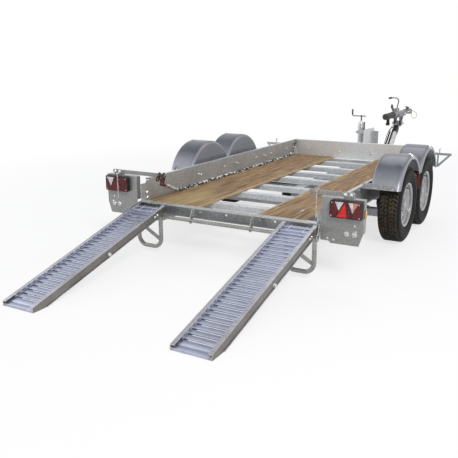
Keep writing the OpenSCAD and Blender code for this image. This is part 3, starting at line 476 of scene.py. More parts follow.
def add_tube(stock, route, radius, sides=12, closed=False, swell=None):
    """A rod, tube or bead swept along a route, with its ends closed."""
    route = [Vector(p) for p in route]
    count = len(route)
    rings = []
    side = None
    for i, spot in enumerate(route):
        before = route[(i - 1) % count] if closed else route[max(i - 1, 0)]
        after = route[(i + 1) % count] if closed else route[min(i + 1, count - 1)]
        along = (after - before).normalized()
        if side is None:
            side = along.orthogonal()
        side = (side - along * side.dot(along)).normalized()
        other = along.cross(side)
        size = radius * (swell(i) if swell else 1)
        angles = [2 * math.pi * k / sides for k in range(sides)]
        rings.append([spot + size * (math.cos(a) * side + math.sin(a) * other) for a in angles])
    skin_rings(stock, rings, closed, capped=not closed)


def circle_route(centre, radius, steps=40):
    """The middle line of a ring round an axis that runs across the trailer."""
    angles = [2 * math.pi * i / steps for i in range(steps)]
    return [centre + Vector((0, radius * math.cos(a), radius * math.sin(a))) for a in angles]


def add_block(stock, low, high, edge=0.0012):
    """A bar or plate between two corners, with its edges eased."""
    low, high = Vector(low), Vector(high)
    middle, half = (low + high) / 2, (high - low) / 2
    edge = min(edge, 0.4 * min(half))
    corners = [(x, y, z) for x in (-1, 1) for y in (-1, 1) for z in (-1, 1)]
    points = [
        middle + Vector([c[k] * (half[k] - (0 if k == flat else edge)) for k in range(3)])
        for c in corners
        for flat in range(3)
    ]
    faces = [(3 * i, 3 * i + 1, 3 * i + 2) for i in range(8)]
    for a in range(3):
        b, c = (a + 1) % 3, (a + 2) % 3
        for sign in (-1, 1):
            around = sorted(
                (i for i in range(8) if corners[i][a] == sign),
                key=lambda i: math.atan2(corners[i][c], corners[i][b]),
            )
            faces.append(tuple(3 * i + a for i in around))
        for sign_b in (-1, 1):
            for sign_c in (-1, 1):
                i, j = (i for i in range(8) if corners[i][b] == sign_b and corners[i][c] == sign_c)
                faces.append((3 * i + b, 3 * j + b, 3 * j + c, 3 * i + c))
    stock.add(points, faces)


def add_bolt(stock, place, axis, wide=0.017, tall=0.007, stub=0.004):
    """A hexagon head or nut on its washer, with the thread's end standing out."""
    r, washer = wide * 0.577, 0.0018
    add_turned(stock, [(0, 0), (1.35 * r, 0), (1.35 * r, washer), (0, washer)], place, axis, 20)
    lie = Vector(place) + Vector(axis).normalized() * washer
    add_turned(stock, [(0, 0), (r, 0), (r, 0.8 * tall), (0.84 * r, tall), (0, tall)], lie, axis, 6)
    if stub:
        low, top = tall - 0.001, tall + stub
        end = [(0, low), (0.55 * r, low), (0.55 * r, top - 0.001), (0.45 * r, top), (0, top)]
        add_turned(stock, end, lie, axis, 12)


def add_weld(stock, start, end, radius=0.0035):
    """A hand-laid weld: a bead that swells and narrows as the torch moved on."""
    start, end = Vector(start), Vector(end)
    steps = max(6, int((end - start).length / 0.0022))
    route = [start.lerp(end, i / steps) for i in range(steps + 1)]
    add_tube(stock, route, radius, 7, swell=lambda i: 0.82 + 0.18 * abs(math.sin(i * math.pi / 3)))


def stock_mesh(name, stock, crease):
    """One mesh of the stock, facing outwards, shaded smooth up to an angle."""
    mesh = bpy.data.meshes.new(name)
    mesh.from_pydata([tuple(p) for p in stock.points], [], stock.faces)
    work = bmesh.new()
    work.from_mesh(mesh)
    bmesh.ops.recalc_face_normals(work, faces=work.faces)
    work.to_mesh(mesh)
    work.free()
    mesh.shade_smooth()
    mesh.set_sharp_from_angle(angle=math.radians(crease))
    return mesh


def make_piece(name, stock, finish, body, crease=38, replaces=()):
    """Turns the stock into one piece that rides on a body of the trailer."""
    mesh = stock_mesh(name, stock, crease)
    mesh.materials.append(finish)
    piece = bpy.data.objects.new(name, mesh)
    bpy.context.scene.collection.objects.link(piece)
    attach(piece, body)
    if replaces:
        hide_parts(*replaces)
    return piece


beam_zinc = zinc_finish(
    "beam_zinc", (0.22, 0.225, 0.23), (0.52, 0.53, 0.54), size=120, contrast=0.6, rough=0.36,
)
dress(beam_zinc, "rear_beam")
tube_zinc = zinc_finish(
    "tube_zinc", (0.18, 0.18, 0.175), (0.46, 0.46, 0.445), size=120, rough=0.30, metallic=0.6
)
dress(tube_zinc, "hook_bar", "rear_legs")

welds = Stock()
for x in (-0.269, -0.261, 0.261, 0.269):
    add_weld(welds, at(x, 0.0, 0.3285), at(x, 0.0, 0.398), 0.003)
    add_weld(welds, at(x, -0.010, 0.330), at(x, -0.044, 0.331), 0.0028)
for side in (-1, 1):
    x = side * BEAM_END
    add_weld(welds, at(x, 0.002, BEAM_TOP), at(x, 0.068, BEAM_TOP), 0.003)
    add_weld(welds, at(x, 0.002, BEAM_LOW), at(x, 0.068, BEAM_LOW), 0.003)
    add_weld(welds, at(side * 0.620, 0.0705, 0.350), at(side * 0.670, 0.0705, 0.350), 0.0035)
    for leg in (0.557, 0.778):
        for edge in (-0.0165, 0.0165):
            ring = circle_route(at(side * leg + edge, BAR_Y, BAR_Z), 0.0175)
            add_tube(welds, ring, 0.0022, 6, closed=True)
weld_zinc = zinc_finish("weld_zinc", (0.26, 0.26, 0.26), (0.60, 0.60, 0.59), size=200, rough=0.45)
make_piece("beam_welds", welds, weld_zinc, "chassis")

beam_bolts = Stock()
for x in (-0.235, 0.295):
    add_bolt(beam_bolts, at(x, 0.0645, 0.366), (0, -1, 0), 0.019)
for x in (-0.745, -0.700, 0.700, 0.745):
    add_bolt(beam_bolts, at(x, 0.0645, 0.383), (0, -1, 0), 0.016)
bolt_zinc = zinc_finish(
    "bolt_zinc", (0.50, 0.50, 0.49), (0.82, 0.82, 0.80), size=300, rough=0.26, dirt=0.2, metallic=0.8
)
make_piece("beam_bolts", beam_bolts, bolt_zinc, "chassis")

# Side boards, rear posts and front board
# Three-millimetre sheet, folded once outward along the top and bolted to the frame before dipping. The
# bolts were put in afterwards and are brighter than the boards.
SIDE_IN, SIDE_OUT = 0.770, 0.773
GAP = 0.0002  # between a fitting and the face that it sits on
sheet_zinc = zinc_finish(
    "sheet_zinc", (0.30, 0.305, 0.31), (0.60, 0.605, 0.61), size=120, contrast=0.6, rough=0.40, dirt=0.25
)
dress(sheet_zinc, "side_boards", "corner_brackets")
# the front board takes a lighter copy of the sheet zinc: painted light on its face toward the rear
lit_front_zinc = zinc_finish(
    "lit_front_zinc", (0.58, 0.585, 0.59), (0.92, 0.925, 0.93), size=120, contrast=0.5, rough=0.36, dirt=0.15
)
dress(lit_front_zinc, "front_board")

board_bolts = Stock()
side_bolts = (
    (0.89, 0.498), (0.93, 0.486), (1.38, 0.50), (1.62, 0.505), (1.66, 0.49),
    (2.07, 0.50), (2.27, 0.502), (2.31, 0.486), (2.45, 0.50), (2.90, 0.50),
)
for side in (-1, 1):
    for y, z in side_bolts:
        add_bolt(board_bolts, at(side * (SIDE_IN - GAP), y, z), (-side, 0, 0), 0.016, stub=0)
        add_bolt(board_bolts, at(side * (SIDE_OUT + GAP), y, z), (side, 0, 0), 0.016)
    for y, z in ((0.084, 0.470), (0.088, 0.425)):
        add_bolt(board_bolts, at(side * (SIDE_IN - GAP), y, z), (-side, 0, 0), 0.019, stub=0)
for y, z in ((0.020, 0.520), (0.060, 0.500)):
    add_bolt(board_bolts, at(-0.7784, y, z), (-1, 0, 0), 0.018)
for x in (-0.60, -0.20, 0.20, 0.60):
    add_bolt(board_bolts, at(x, 3.1498, 0.47), (0, -1, 0), 0.016, stub=0)
make_piece("board_bolts", board_bolts, bolt_zinc, "chassis")

# Track strips
# Two strips of fifteen-millimetre birch plywood, stained brown and oiled, with pale worn edges. They are
# screwed down to each cross member with countersunk screws.
STRIP_TOP, STRIP_IN, STRIP_OUT = 0.402, 0.260, 0.765
PLY_PAIR = 0.0029  # one pale and one dark layer
CROSS_Y = (0.35, 0.83, 1.23, 1.68, 2.04, 2.44, 2.86)


def plywood_finish():
    finish, tree, surface = new_finish("plywood", 0.62, Specular_IOR_Level=0.2)
    grain = add_noise(add_stretch(tree, 1, 0.045, 1), 52, 8, 0.68)
    broad = add_noise(add_stretch(tree, 1, 0.10, 1), 7.5, 4, 0.6)
    patch = add_noise(add_stretch(tree, 1, 0.35, 1), 2.6, 3, 0.5)
    fleck = add_noise(add_stretch(tree, 1, 0.03, 1), 240, 3, 0.7)
    wood = grain.span(0.40, 0.61).mix((0.080, 0.044, 0.020), (0.43, 0.285, 0.140))
    wood = (broad.span(0.45, 0.66) * 0.6).mix(wood, (0.235, 0.105, 0.055))
    wood = (patch.span(0.54, 0.66) * 0.45).mix(wood, (0.52, 0.385, 0.185))
    wood = (fleck.span(0.56, 0.68) * 0.55).mix(wood, (0.045, 0.028, 0.018))
    # the inner border of each strip is worn pale by boots
    place, split = add_axes(tree)
    wood = (abs(split["X"]).span(STRIP_IN + 0.030, STRIP_IN + 0.006) * 0.6).mix(wood, (0.66, 0.49, 0.33))
    layers = (split["Z"] * (2 * math.pi / PLY_PAIR)).math("SINE")
    ends = layers.span(-0.3, 0.3).mix((0.30, 0.185, 0.095), (0.62, 0.47, 0.30))
    wood = abs(add_facing(tree)["Z"]).math("LESS_THAN", 0.5).mix(wood, ends)
    wood, normal = wear_edges(wood, 0.75, (0.72, 0.58, 0.40), 0.004, 6.0)
    soil(surface, wood, 0.35, 5.0, 5.0, (0.20, 0.155, 0.105))
    add_bump(surface, grain + fleck, 0.0008, 0.45, normal)
    return finish


dress(plywood_finish(), "track_strips")
screws = Stock()
screw_head = [
    (0, -0.001), (0.0072, -0.001), (0.0072, 0.0002), (0.0080, 0.0009), (0.0068, 0.0011), (0.0022, 0.0004),
    (0, 0.0002),
]
for side in (-1, 1):
    for y in CROSS_Y:
        for x in (STRIP_IN + 0.04, (STRIP_IN + STRIP_OUT) / 2, STRIP_OUT - 0.05):
            # the right strip has no wood here, at its cut corner
            if side > 0 and y < 0.45 and x > 0.6:
                continue
            for step in (-0.018, 0.018):
                add_turned(screws, screw_head, at(side * x, y + step, STRIP_TOP), sides=14)
make_piece("strip_screws", screws, bolt_zinc, "chassis")

# Axle arms
# Four forged trailing arms, one at each end of the rubber-sprung axle tubes, with the wheels' stub axles
# welded in. They are painted black, and the road has dulled the paint.
def painted_finish(
    name, colour, rough, dirt, bare=(0.34, 0.33, 0.32), coat=0.0, metallic=0.0, shine=0.5, pale_dust_and_light=None
):
    """Paint that is chipped to bare metal at the edges, under road dirt, and maybe pale on its steep faces
    from dust and painted light.
    """
    finish, tree, surface = new_finish(
        name, rough, metallic, Coat_Weight=coat, Coat_Roughness=0.12, Specular_IOR_Level=shine
    )
    place, _ = add_axes(tree)
    cloud = add_noise(place, 9, 4)
    paint = cloud.span(0.35, 0.75).mix(colour, tuple(min(1.0, 0.025 + 1.35 * c) for c in colour))
    if pale_dust_and_light:
        # faces that look up or sideways keep the dark paint, and the steep faces are painted pale: partly a
        # film of dust, partly painted light
        facing = add_facing(tree, "Normal")
        crown_dark, side_dark = facing["Z"].span(0.20, 0.80), abs(facing["X"]).span(0.60, 0.90, 0.0, 0.6)
        paint = crown_dark.math("MAXIMUM", side_dark).mix(pale_dust_and_light, paint)
    edge = place_group(tree, EDGE_WEAR, Radius=0.002, Amount=4.0)
    chips = edge["Edge"] * add_noise(place, 90, 4).span(0.45, 0.62)
    soil(surface, (chips * 0.7).mix(paint, bare), dirt, 0.9, 14.0)
    cloud.span(0.3, 0.8, rough - 0.08, rough + 0.12).feed(surface["Roughness"])
    add_bump(surface, add_noise(place, 320, 2), 0.0003, 0.25, edge["Normal"])
    return finish


axle_black = painted_finish("axle_black", (0.012, 0.012, 0.013), 0.5, 0.4, shine=0.15)
dress(axle_black, "axle_arms")

# Wheels
# Pressed steel rims sprayed silver, each on five nuts and with a rubber valve, and heavy block-treaded
# tyres whose grooves hold dry brown dust.
AXLES = (1.286, 1.962)
WHEEL_X, WHEEL_R = 1.014, 0.325
WHEELS = {
    "rear_left": (-1, AXLES[0]),
    "rear_right": (1, AXLES[0]),
    "front_left": (-1, AXLES[1]),
    "front_right": (1, AXLES[1]),
}
PITCHES, TREAD_DEEP = 58, 0.0085
# fraction of the pitch, and how much of the groove's depth the tread has lost there
LUG_LINES = ((0.0, 0), (0.30, 0), (0.325, 0.35), (0.35, 0), (0.66, 0), (0.70, 1), (0.96, 1))
# across and radius, from the bead up the sidewall
WALL_LINES = (
    (0.0540, 0.178), (0.0680, 0.178), (0.0740, 0.184), (0.0785, 0.194), (0.0820, 0.204), (0.0850, 0.207),
    (0.0850, 0.210), (0.0855, 0.214), (0.0890, 0.225), (0.0915, 0.236), (0.0930, 0.246), (0.0945, 0.249),
    (0.0945, 0.253),
)
# across, radius and share of the groove's depth, round the shoulder
SHOULDER_LINES = (
    (0.094, 0.262, 0), (0.0930, 0.275, 0), (0.0915, 0.287, 0), (0.0905, 0.2925, 0), (0.0893, 0.2955, 0.55),
    (0.0850, 0.304, 0.8), (0.0790, 0.3132, 0.9), (0.0720, 0.3204, 1), (0.0660, 0.3243, 1),
)
INSIDE_LINES = (
    (-0.0680, 0.206), (-0.0790, 0.256), (-0.0720, 0.296), (-0.0500, 0.310),
    (0.0500, 0.310), (0.0720, 0.296), (0.0790, 0.256), (0.0680, 0.206),
)
# each row of blocks: its outer and inner edge, where round the pitch it starts, and how far it slants
BLOCK_ROWS = ((0.062, 0.046, 0.10, 0.35), (0.0395, 0.0205, 0.60, -0.55), (0.0140, -0.0005, 0.15, 0.75))


def tyre_half():
    """From the bead to the tread's middle: across, radius, share of the groove, twist, groove floor."""
    half = [(x, r, 0, 0, 0) for x, r in WALL_LINES]
    half += [(x, r, deep, 0.004 * (0.094 - x) / 0.03, 0) for x, r, deep in SHOULDER_LINES]
    for outer, inner, start, skew in BLOCK_ROWS:
        for k in range(4):
            x = outer + (inner - outer) * k / 3
            half.append((x, WHEEL_R - 0.0004 * (x / 0.06) ** 2, 1, start + skew * (outer - x) / 0.02, 0))
        if inner > 0:
            twist = start + skew * (outer - inner) / 0.02
            half += [(inner - 0.0012, WHEEL_R, 1, twist, 1), (inner - 0.0053, WHEEL_R, 1, twist, 1)]
    return half[:-1]


def tyre_mesh():
    half = tyre_half()
    line = half + [(-x, r, deep, twist + 0.5, floor) for x, r, deep, twist, floor in reversed(half)]
    line += [(x, r, 0, line[-1][3] * (1 - i / 7), 0) for i, (x, r) in enumerate(INSIDE_LINES)]
    rings = []
    for x, r, deep, twist, groove in line:
        ring = []
        for pitch in range(PITCHES):
            for fraction, lost in LUG_LINES:
                angle = 2 * math.pi * (pitch + fraction + twist) / PITCHES
                radius = r - TREAD_DEEP * deep * (1 if groove else lost)
                ring.append((x, radius * math.sin(angle), radius * math.cos(angle)))
        rings.append(ring)
    tyre = Stock()
    skin_rings(tyre, rings, closed=True)
    return stock_mesh("tyre", tyre, 30)


def tyre_finish():
    finish, tree, surface = new_finish("tyre_rubber", 0.72, Specular_IOR_Level=0.12)
    place, split = add_axes(tree)
    reach = tree.nodes.new("ShaderNodeVectorMath")
    reach.operation = "LENGTH"
    add_stretch(tree, 0, 1, 1).feed(reach.inputs[0])
    radius, across = Value(tree, reach.outputs["Value"]), abs(split["X"])
    cloud = add_noise(place, 34, 5, 0.65)
    # dust lies in the grooves, and in patches on the blocks
    groove = radius.span(0.3225, 0.3180) * across.span(0.078, 0.066)
    blocks = radius.span(0.316, 0.322) * cloud.span(0.50, 0.70)
    dust = groove.math("MAXIMUM", blocks * 0.55) * add_noise(place, 6, 3).span(0.25, 0.62, 0.35, 1.0)
    rubber = cloud.span(0.3, 0.8).mix((0.006, 0.006, 0.006), (0.020, 0.020, 0.020))
    (dust.limited() * 0.75).mix(rubber, (0.215, 0.165, 0.110)).feed(surface["Base Color"])
    dust.span(0, 1, 0.62, 0.92).feed(surface["Roughness"])
    # fine moulded rings run round the sidewall
    rings = (radius * (2 * math.pi / 0.0026)).math("SINE")
    side = radius.span(0.262, 0.255) * radius.span(0.214, 0.222)
    add_bump(surface, add_noise(place, 700, 2) + rings * side, 0.0005, 0.5)
    return finish


rubber, tread = tyre_finish(), tyre_mesh()
tread.materials.append(rubber)
rim_silver = painted_finish("rim_silver", (0.33, 0.335, 0.35), 0.30, 0.45, (0.25, 0.22, 0.20), 0.3, 0.5)
for number, (name, (side, y)) in enumerate(WHEELS.items()):
    dress(rim_silver, "rim_" + name)
    hub = at(side * WHEEL_X, y, WHEEL_R)
    own = tread.copy()
    own.transform(Matrix.Rotation(math.pi * (side < 0), 4, "Z") @ Matrix.Rotation(0.4 * number, 4, "X"))
    tyre = bpy.data.objects.new("tread_" + name, own)
    bpy.context.scene.collection.objects.link(tyre)
    tyre.matrix_world = Matrix.Translation(hub)
    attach(tyre, "wheel_" + name)
    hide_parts("tyre_" + name)
    valve = Stock()
    foot = hub + Vector((side * 0.046, 0.0, 0.150))
    stem = [foot, foot + Vector((side * 0.012, 0, 0.001)), foot + Vector((side * 0.040, 0, -0.010))]
    add_tube(valve, stem, 0.0045, 10)
    make_piece("valve_" + name, valve, rubber, "wheel_" + name)

# Mudguards
# Half-round guards pressed from thin steel and painted a dark blue-grey. Their steep faces are painted pale,
# partly as a film of dust and partly as painted light. Both shoulders are rounded, the inner side is closed,
# and the outer edge is rolled over a wire.
GUARD_X, GUARD_W, GUARD_R, GUARD_Z = 0.868, 0.248, 0.395, 0.365
SHOULDER_R, GUARD_T = 0.030, 0.003
GUARD_CUT, GUARD_DROP, GUARD_MEET = 0.550 - GUARD_Z, 0.505 - GUARD_Z, 0.335
LIP_R, WIRE_R = GUARD_R - 0.038, 0.0045


def guard_section():
    """The guard's cut end: the outer line and the inner line, as across and radius."""
    core, q = GUARD_R - SHOULDER_R, SHOULDER_R

    def line(thick):
        left, right = (
            [(x + (q - thick) * math.sin(a), core + (q - thick) * math.cos(a)) for a in angles]
            for x, angles in (
                (q, [math.radians(90 * i / 7 - 90) for i in range(8)]),
                (GUARD_W - q, [math.radians(90 * i / 7) for i in range(8)]),
            )
        )
        crown = [(q + (GUARD_W - 2 * q) * k / 5, GUARD_R - thick) for k in range(1, 5)]
        return left + crown + right + [(GUARD_W - thick, LIP_R + 0.004), (GUARD_W - thick, LIP_R)]

    return line(0) + line(GUARD_T)[::-1]


def guard_reach(x, radius, end):
    """Where a line round the guard starts, at its open end, and stops, where two guards meet."""
    down = min(1, max(0, (x - (GUARD_W - 0.040)) / 0.012))
    low = GUARD_CUT + (GUARD_DROP - GUARD_CUT) * down * down * (3 - 2 * down)
    start = math.asin(low / radius)
    stop = math.pi - max(math.asin(GUARD_CUT / radius), math.acos(min(1, GUARD_MEET / radius)))
    return (start, stop) if end > 0 else (math.pi - start, math.pi - stop)


def make_guard(side, y, end):
    guard, steps = Stock(), 44

    def arc(x, radius):
        """The angles round the guard of one of its lines, evenly spaced."""
        first, last = guard_reach(x, radius, end)
        return [first + (last - first) * step / steps for step in range(steps + 1)]

    def on_guard(x, radius, angle, low=-1):
        up = max(radius * math.sin(angle), low)
        return at(side * (GUARD_X + x), y + radius * math.cos(angle), GUARD_Z + up)

    lines = [[on_guard(x, radius, a) for a in arc(x, radius)] for x, radius in guard_section()]
    skin_rings(guard, list(zip(*lines)), capped=True)
    # the inner side is a flat plate, cut level with the guard's open end
    core, faces = GUARD_R - SHOULDER_R, (GAP, GUARD_T - GAP)
    plate = [[on_guard(depth, core, a, GUARD_CUT) for a in arc(0, core)] for depth in faces]
    skin_rings(guard, plate, capped=True)
    wire = [on_guard(GUARD_W - WIRE_R, LIP_R, a) for a in arc(GUARD_W, LIP_R)]
    add_tube(guard, wire, WIRE_R, 8)
    return guard


guard_paint = painted_finish(
    "guard_paint", (0.062, 0.069, 0.094), 0.34, 0.15, bare=(0.45, 0.45, 0.46), coat=0.30, metallic=0.15,
    shine=0.30, pale_dust_and_light=(0.46, 0.47, 0.515),
)
for side, hand in ((-1, "left"), (1, "right")):
    both = Stock()
    for y, end in zip(AXLES, (-1, 1)):
        one = make_guard(side, y, end)
        both.add(one.points, one.faces)
    make_piece("mudguards_" + hand, both, guard_paint, "chassis", 32)
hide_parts("mudguards")

# Guard stays and ties
# Galvanised angles under the guards' lower ends carry them on the side boards. Where two guards meet, a
# bare steel plate, rusty by now, ties them to the middle angle, and bright clips hold their outer edges.
STAY_END, STAY_MID_Y, STAY_Z = 1.083, 1.624, 0.524
stay_zinc = zinc_finish("stay_zinc", (0.22, 0.225, 0.235), (0.56, 0.57, 0.59), rough=0.36, dirt=0.3)
dress(stay_zinc, "outriggers")


def rusty_finish(name, steel, share, metallic, deep, fresh):
    """Steel with rust over a share of it, from deep to fresh in tone, and rubbed bare at the edges."""
    finish, tree, surface = new_finish(name, 0.55, metallic)
    place, _ = add_axes(tree)
    patch, grit = add_noise(place, 38, 6, 0.7), add_noise(place, 420, 3)
    edge = place_group(tree, EDGE_WEAR, Radius=0.0015, Amount=4.0)
    rust = grit.span(0.35, 0.68).mix(deep, fresh)
    bare = grit.span(0.3, 0.7).mix(tuple(0.45 * c for c in steel), steel)
    mask = (patch.span(0.62 - 0.42 * share, 0.72 - 0.42 * share) - edge["Edge"]).limited()
    mask.mix(bare, rust).feed(surface["Base Color"])
    mask.span(0, 1, 0.32, 0.88).feed(surface["Roughness"])
    mask.span(0, 1, metallic, 0.0).feed(surface["Metallic"])
    add_bump(surface, grit, 0.0006, 0.5, edge["Normal"])
    return finish


rusty_steel = rusty_finish(
    "rusty_steel", (0.30, 0.22, 0.20), 0.9, 0.3, deep=(0.045, 0.010, 0.007), fresh=(0.19, 0.050, 0.034)
)
# how far inward from the guard's edge and down from its crown a clip runs
clip_line = (
    (0.040, -0.0015), (0.028, -0.0020), (0.014, 0.0035), (0.003, 0.0160), (-0.0025, 0.0300),
    (-0.0022, 0.036),
)
ties, clips = Stock(), Stock()
for side in (-1, 1):
    x, y, z = side * (STAY_END - 0.022), STAY_MID_Y, STAY_Z
    low, high = sorted((side * (STAY_END - 0.035), side * (STAY_END + 0.030)))
    add_block(ties, at(low, y - 0.003, z - 0.110), at(high, y + 0.003, z + 0.034))
    add_block(ties, at(low, y - 0.004, z - 0.118), at(high, y + 0.010, z - 0.110))
    add_bolt(clips, at(x, y - 0.003, z + 0.010), (0, -1, 0), 0.013)
    add_weld(ties, at(x - 0.016, y - 0.004, z), at(x + 0.016, y - 0.004, z), 0.003)
    edge, crown = GUARD_X + GUARD_W, GUARD_Z + GUARD_R
    for y in AXLES:
        for offset in (-0.009, 0.0, 0.009):
            clip = [at(side * (edge - inward), y + offset, crown - down) for inward, down in clip_line]
            add_tube(clips, clip, 0.0040, 8)
    for y in (0.939, 2.309):
        for x in (0.900, 1.060):
            add_bolt(clips, at(side * x, y, 0.5102), (0, 0, 1), 0.016)
make_piece("guard_ties", ties, rusty_steel, "chassis")
make_piece("guard_clips", clips, bolt_zinc, "chassis")

# Lamp boards
# Folded galvanised sheet on an arm each side of the rear beam, cut away at the lower outer corner and held
# by two bolts. The sheet is smoother than the frame, with a fine spangle.
BOARD_T = 0.003
board_zinc = zinc_finish(
    "board_zinc", (0.19, 0.195, 0.19), (0.36, 0.365, 0.36), size=160, contrast=0.6, runs=0.2, rough=0.34,
    dirt=0.25,
)
dress(board_zinc, "lamp_boards")
board_nuts = Stock()
for side in (-1, 1):
    for x, z in ((0.998, 0.365), (1.054, 0.365)):
        add_bolt(board_nuts, at(side * x, -BOARD_T - GAP, z), (0, -1, 0), 0.024, 0.008, 0)
    for x, z in ((1.062, 0.385), (0.860, 0.320), (0.905, 0.3125)):
        add_bolt(board_nuts, at(side * x, -BOARD_T - GAP, z), (0, -1, 0), 0.011, 0.004, 0)
make_piece("lamp_board_bolts", board_nuts, bolt_zinc, "chassis")

# Rear lamps
# Moulded lamps with a black housing and a dark red lens that four screws hold. A tall red reflector stands
# in the lens's middle, with a field on each side of it that points down: clear, orange or red.
LAMP_X, LAMP_Z, LAMP_W, LAMP_H = 0.993, 0.541, 0.232, 0.126
# depths from the board's face: the housing's back and rim, the lens's edge and its flat face
LAMP_BACK, LAMP_RIM, LENS_EDGE, LENS_FACE = 0.0033, 0.0333, 0.0412, 0.0420


def add_slab(stock, outline, layers, place):
    """A flat moulding built in layers: each has a depth, and how far the outline is drawn in there."""
    rings = [[place(u, v, depth) for u, v in outline(inset)] for depth, inset in layers]
    skin_rings(stock, rings, capped=True)


def rear_face(side, x, z):
    """Gives the places on an upright face at the rear: across and up from its middle, and out of it."""
    return lambda u, v, depth: at(side * (x + u), -depth, z + v)


def round_outline(width, height, radii, steps=6):
    """A rectangle with its own radius at each corner, from the upper right one anticlockwise."""
    if not hasattr(radii, "__len__"):
        radii = (radii,) * 4

    def outline(inset):
        line = []
        for quarter, (a, b) in enumerate(((1, 1), (-1, 1), (-1, -1), (1, -1))):
            r = max(radii[quarter] - inset, 0.0004)
            for k in range(steps + 1):
                angle = math.pi / 2 * (quarter + k / steps)
                x, z = a * (width / 2 - inset - r), b * (height / 2 - inset - r)
                line.append((x + r * math.cos(angle), z + r * math.sin(angle)))
        return line

    return outline


def corner_outline(*corners):
    """A triangle or other outline with straight sides that are drawn in by equal amounts."""
    corners = [Vector(c) for c in corners]

    def outline(inset):
        line = []
        last_first, first_last = [corners[-1]] + corners[:-1], corners[1:] + corners[:1]
        for before, corner, after in zip(last_first, corners, first_last):
            a, b = (corner - before).normalized(), (after - corner).normalized()
            half = (Vector((-a.y, a.x)) + Vector((-b.y, b.x))).normalized()
            line.append(tuple(corner + half * inset / max(0.2, half.dot(Vector((-a.y, a.x))))))
        return line

    return outline


def lens_finish(name, deep, bright, ribs=0.0042, rough=0.14, metallic=0.0):
    finish, tree, surface = new_finish(
        name, rough, metallic, Coat_Weight=0.2, Coat_Roughness=0.08, Specular_IOR_Level=0.25
    )
    place, split = add_axes(tree)
    # the lens is moulded in small pillows, and the middle of each is painted lighter, a painted glint, over
    # a tone that varies at random
    across, up = (abs((split[axis] * (math.pi / ribs)).math("SINE")) for axis in "XZ")
    pillow = across * up
    pillow_glint_and_tone = (pillow * 0.45 + add_noise(place, 26, 4, 0.6).span(0.35, 0.75, 0, 0.75)).limited()
    soil(surface, pillow_glint_and_tone.mix(deep, bright), 0.25, 0.8, 24.0)
    add_bump(surface, pillow, 0.0012, 0.5)
    return finish


def plastic_finish(name, colour, rough=0.42):
    finish, tree, surface = new_finish(name, rough, Specular_IOR_Level=0.18)
    place, _ = add_axes(tree)
    cloud = add_noise(place, 16, 4)
    tone = cloud.span(0.3, 0.75).mix(colour, tuple(0.02 + 1.5 * c for c in colour))
    tone, normal = wear_edges(tone, 0.4, (0.16, 0.16, 0.165), 0.0015, 3.0)
    soil(surface, tone, 0.35, 0.9, 20.0)
    cloud.span(0.3, 0.8, rough - 0.08, rough + 0.14).feed(surface["Roughness"])
    add_bump(surface, add_noise(place, 520, 2), 0.0003, 0.3, normal)
    return finish


lamp_black = plastic_finish("lamp_black", (0.006, 0.006, 0.007), 0.34)
lens_red = lens_finish("lens_red", (0.028, 0.0006, 0.002), (0.175, 0.003, 0.010))
lens_lit = lens_finish("lens_lit_red", (0.42, 0.006, 0.005), (0.85, 0.030, 0.018))
lens_shaded = lens_finish("lens_shaded_red", (0.050, 0.001, 0.004), (0.26, 0.010, 0.020))
lens_clear = lens_finish("lens_clear", (0.42, 0.43, 0.45), (0.86, 0.86, 0.86), metallic=0.25)
lens_orange = lens_finish("lens_orange", (0.36, 0.07, 0.035), (0.72, 0.42, 0.30), metallic=0.2)
housing_layers = [
    (LAMP_BACK, 0.0015), (LAMP_BACK + 0.0015, 0), (0.022, 0), (0.0228, 0.0012), (0.0245, 0.0012),
    (0.0253, 0), (LAMP_RIM - 0.001, 0), (LAMP_RIM + 0.0015, 0.0018), (LAMP_RIM + 0.0015, 0.004),
]
lens_layers = [(LAMP_RIM + 0.0003, 0), (0.0395, 0), (LENS_EDGE, 0.0007), (LENS_FACE, 0.0025)]
frame_corners = (
    ((-0.066, -0.055), (0.052, -0.055), (-0.002, 0.057)),
    ((-0.080, 0.0565), (-0.047, -0.015), (-0.006, 0.0565)),
    ((0.015, 0.0565), (0.054, -0.027), (0.100, 0.0565)),
    ((-0.1085, 0.0565), (-0.1085, 0.016), (-0.083, 0.0565)),
    ((0.1085, 0.0565), (0.102, 0.0565), (0.1085, 0.000)),
)
lens_screw = [
    (0, LENS_EDGE), (0.0042, LENS_EDGE), (0.0042, 0.0428), (0.0032, 0.0436), (0.0014, 0.0436), (0, 0.0426)
]
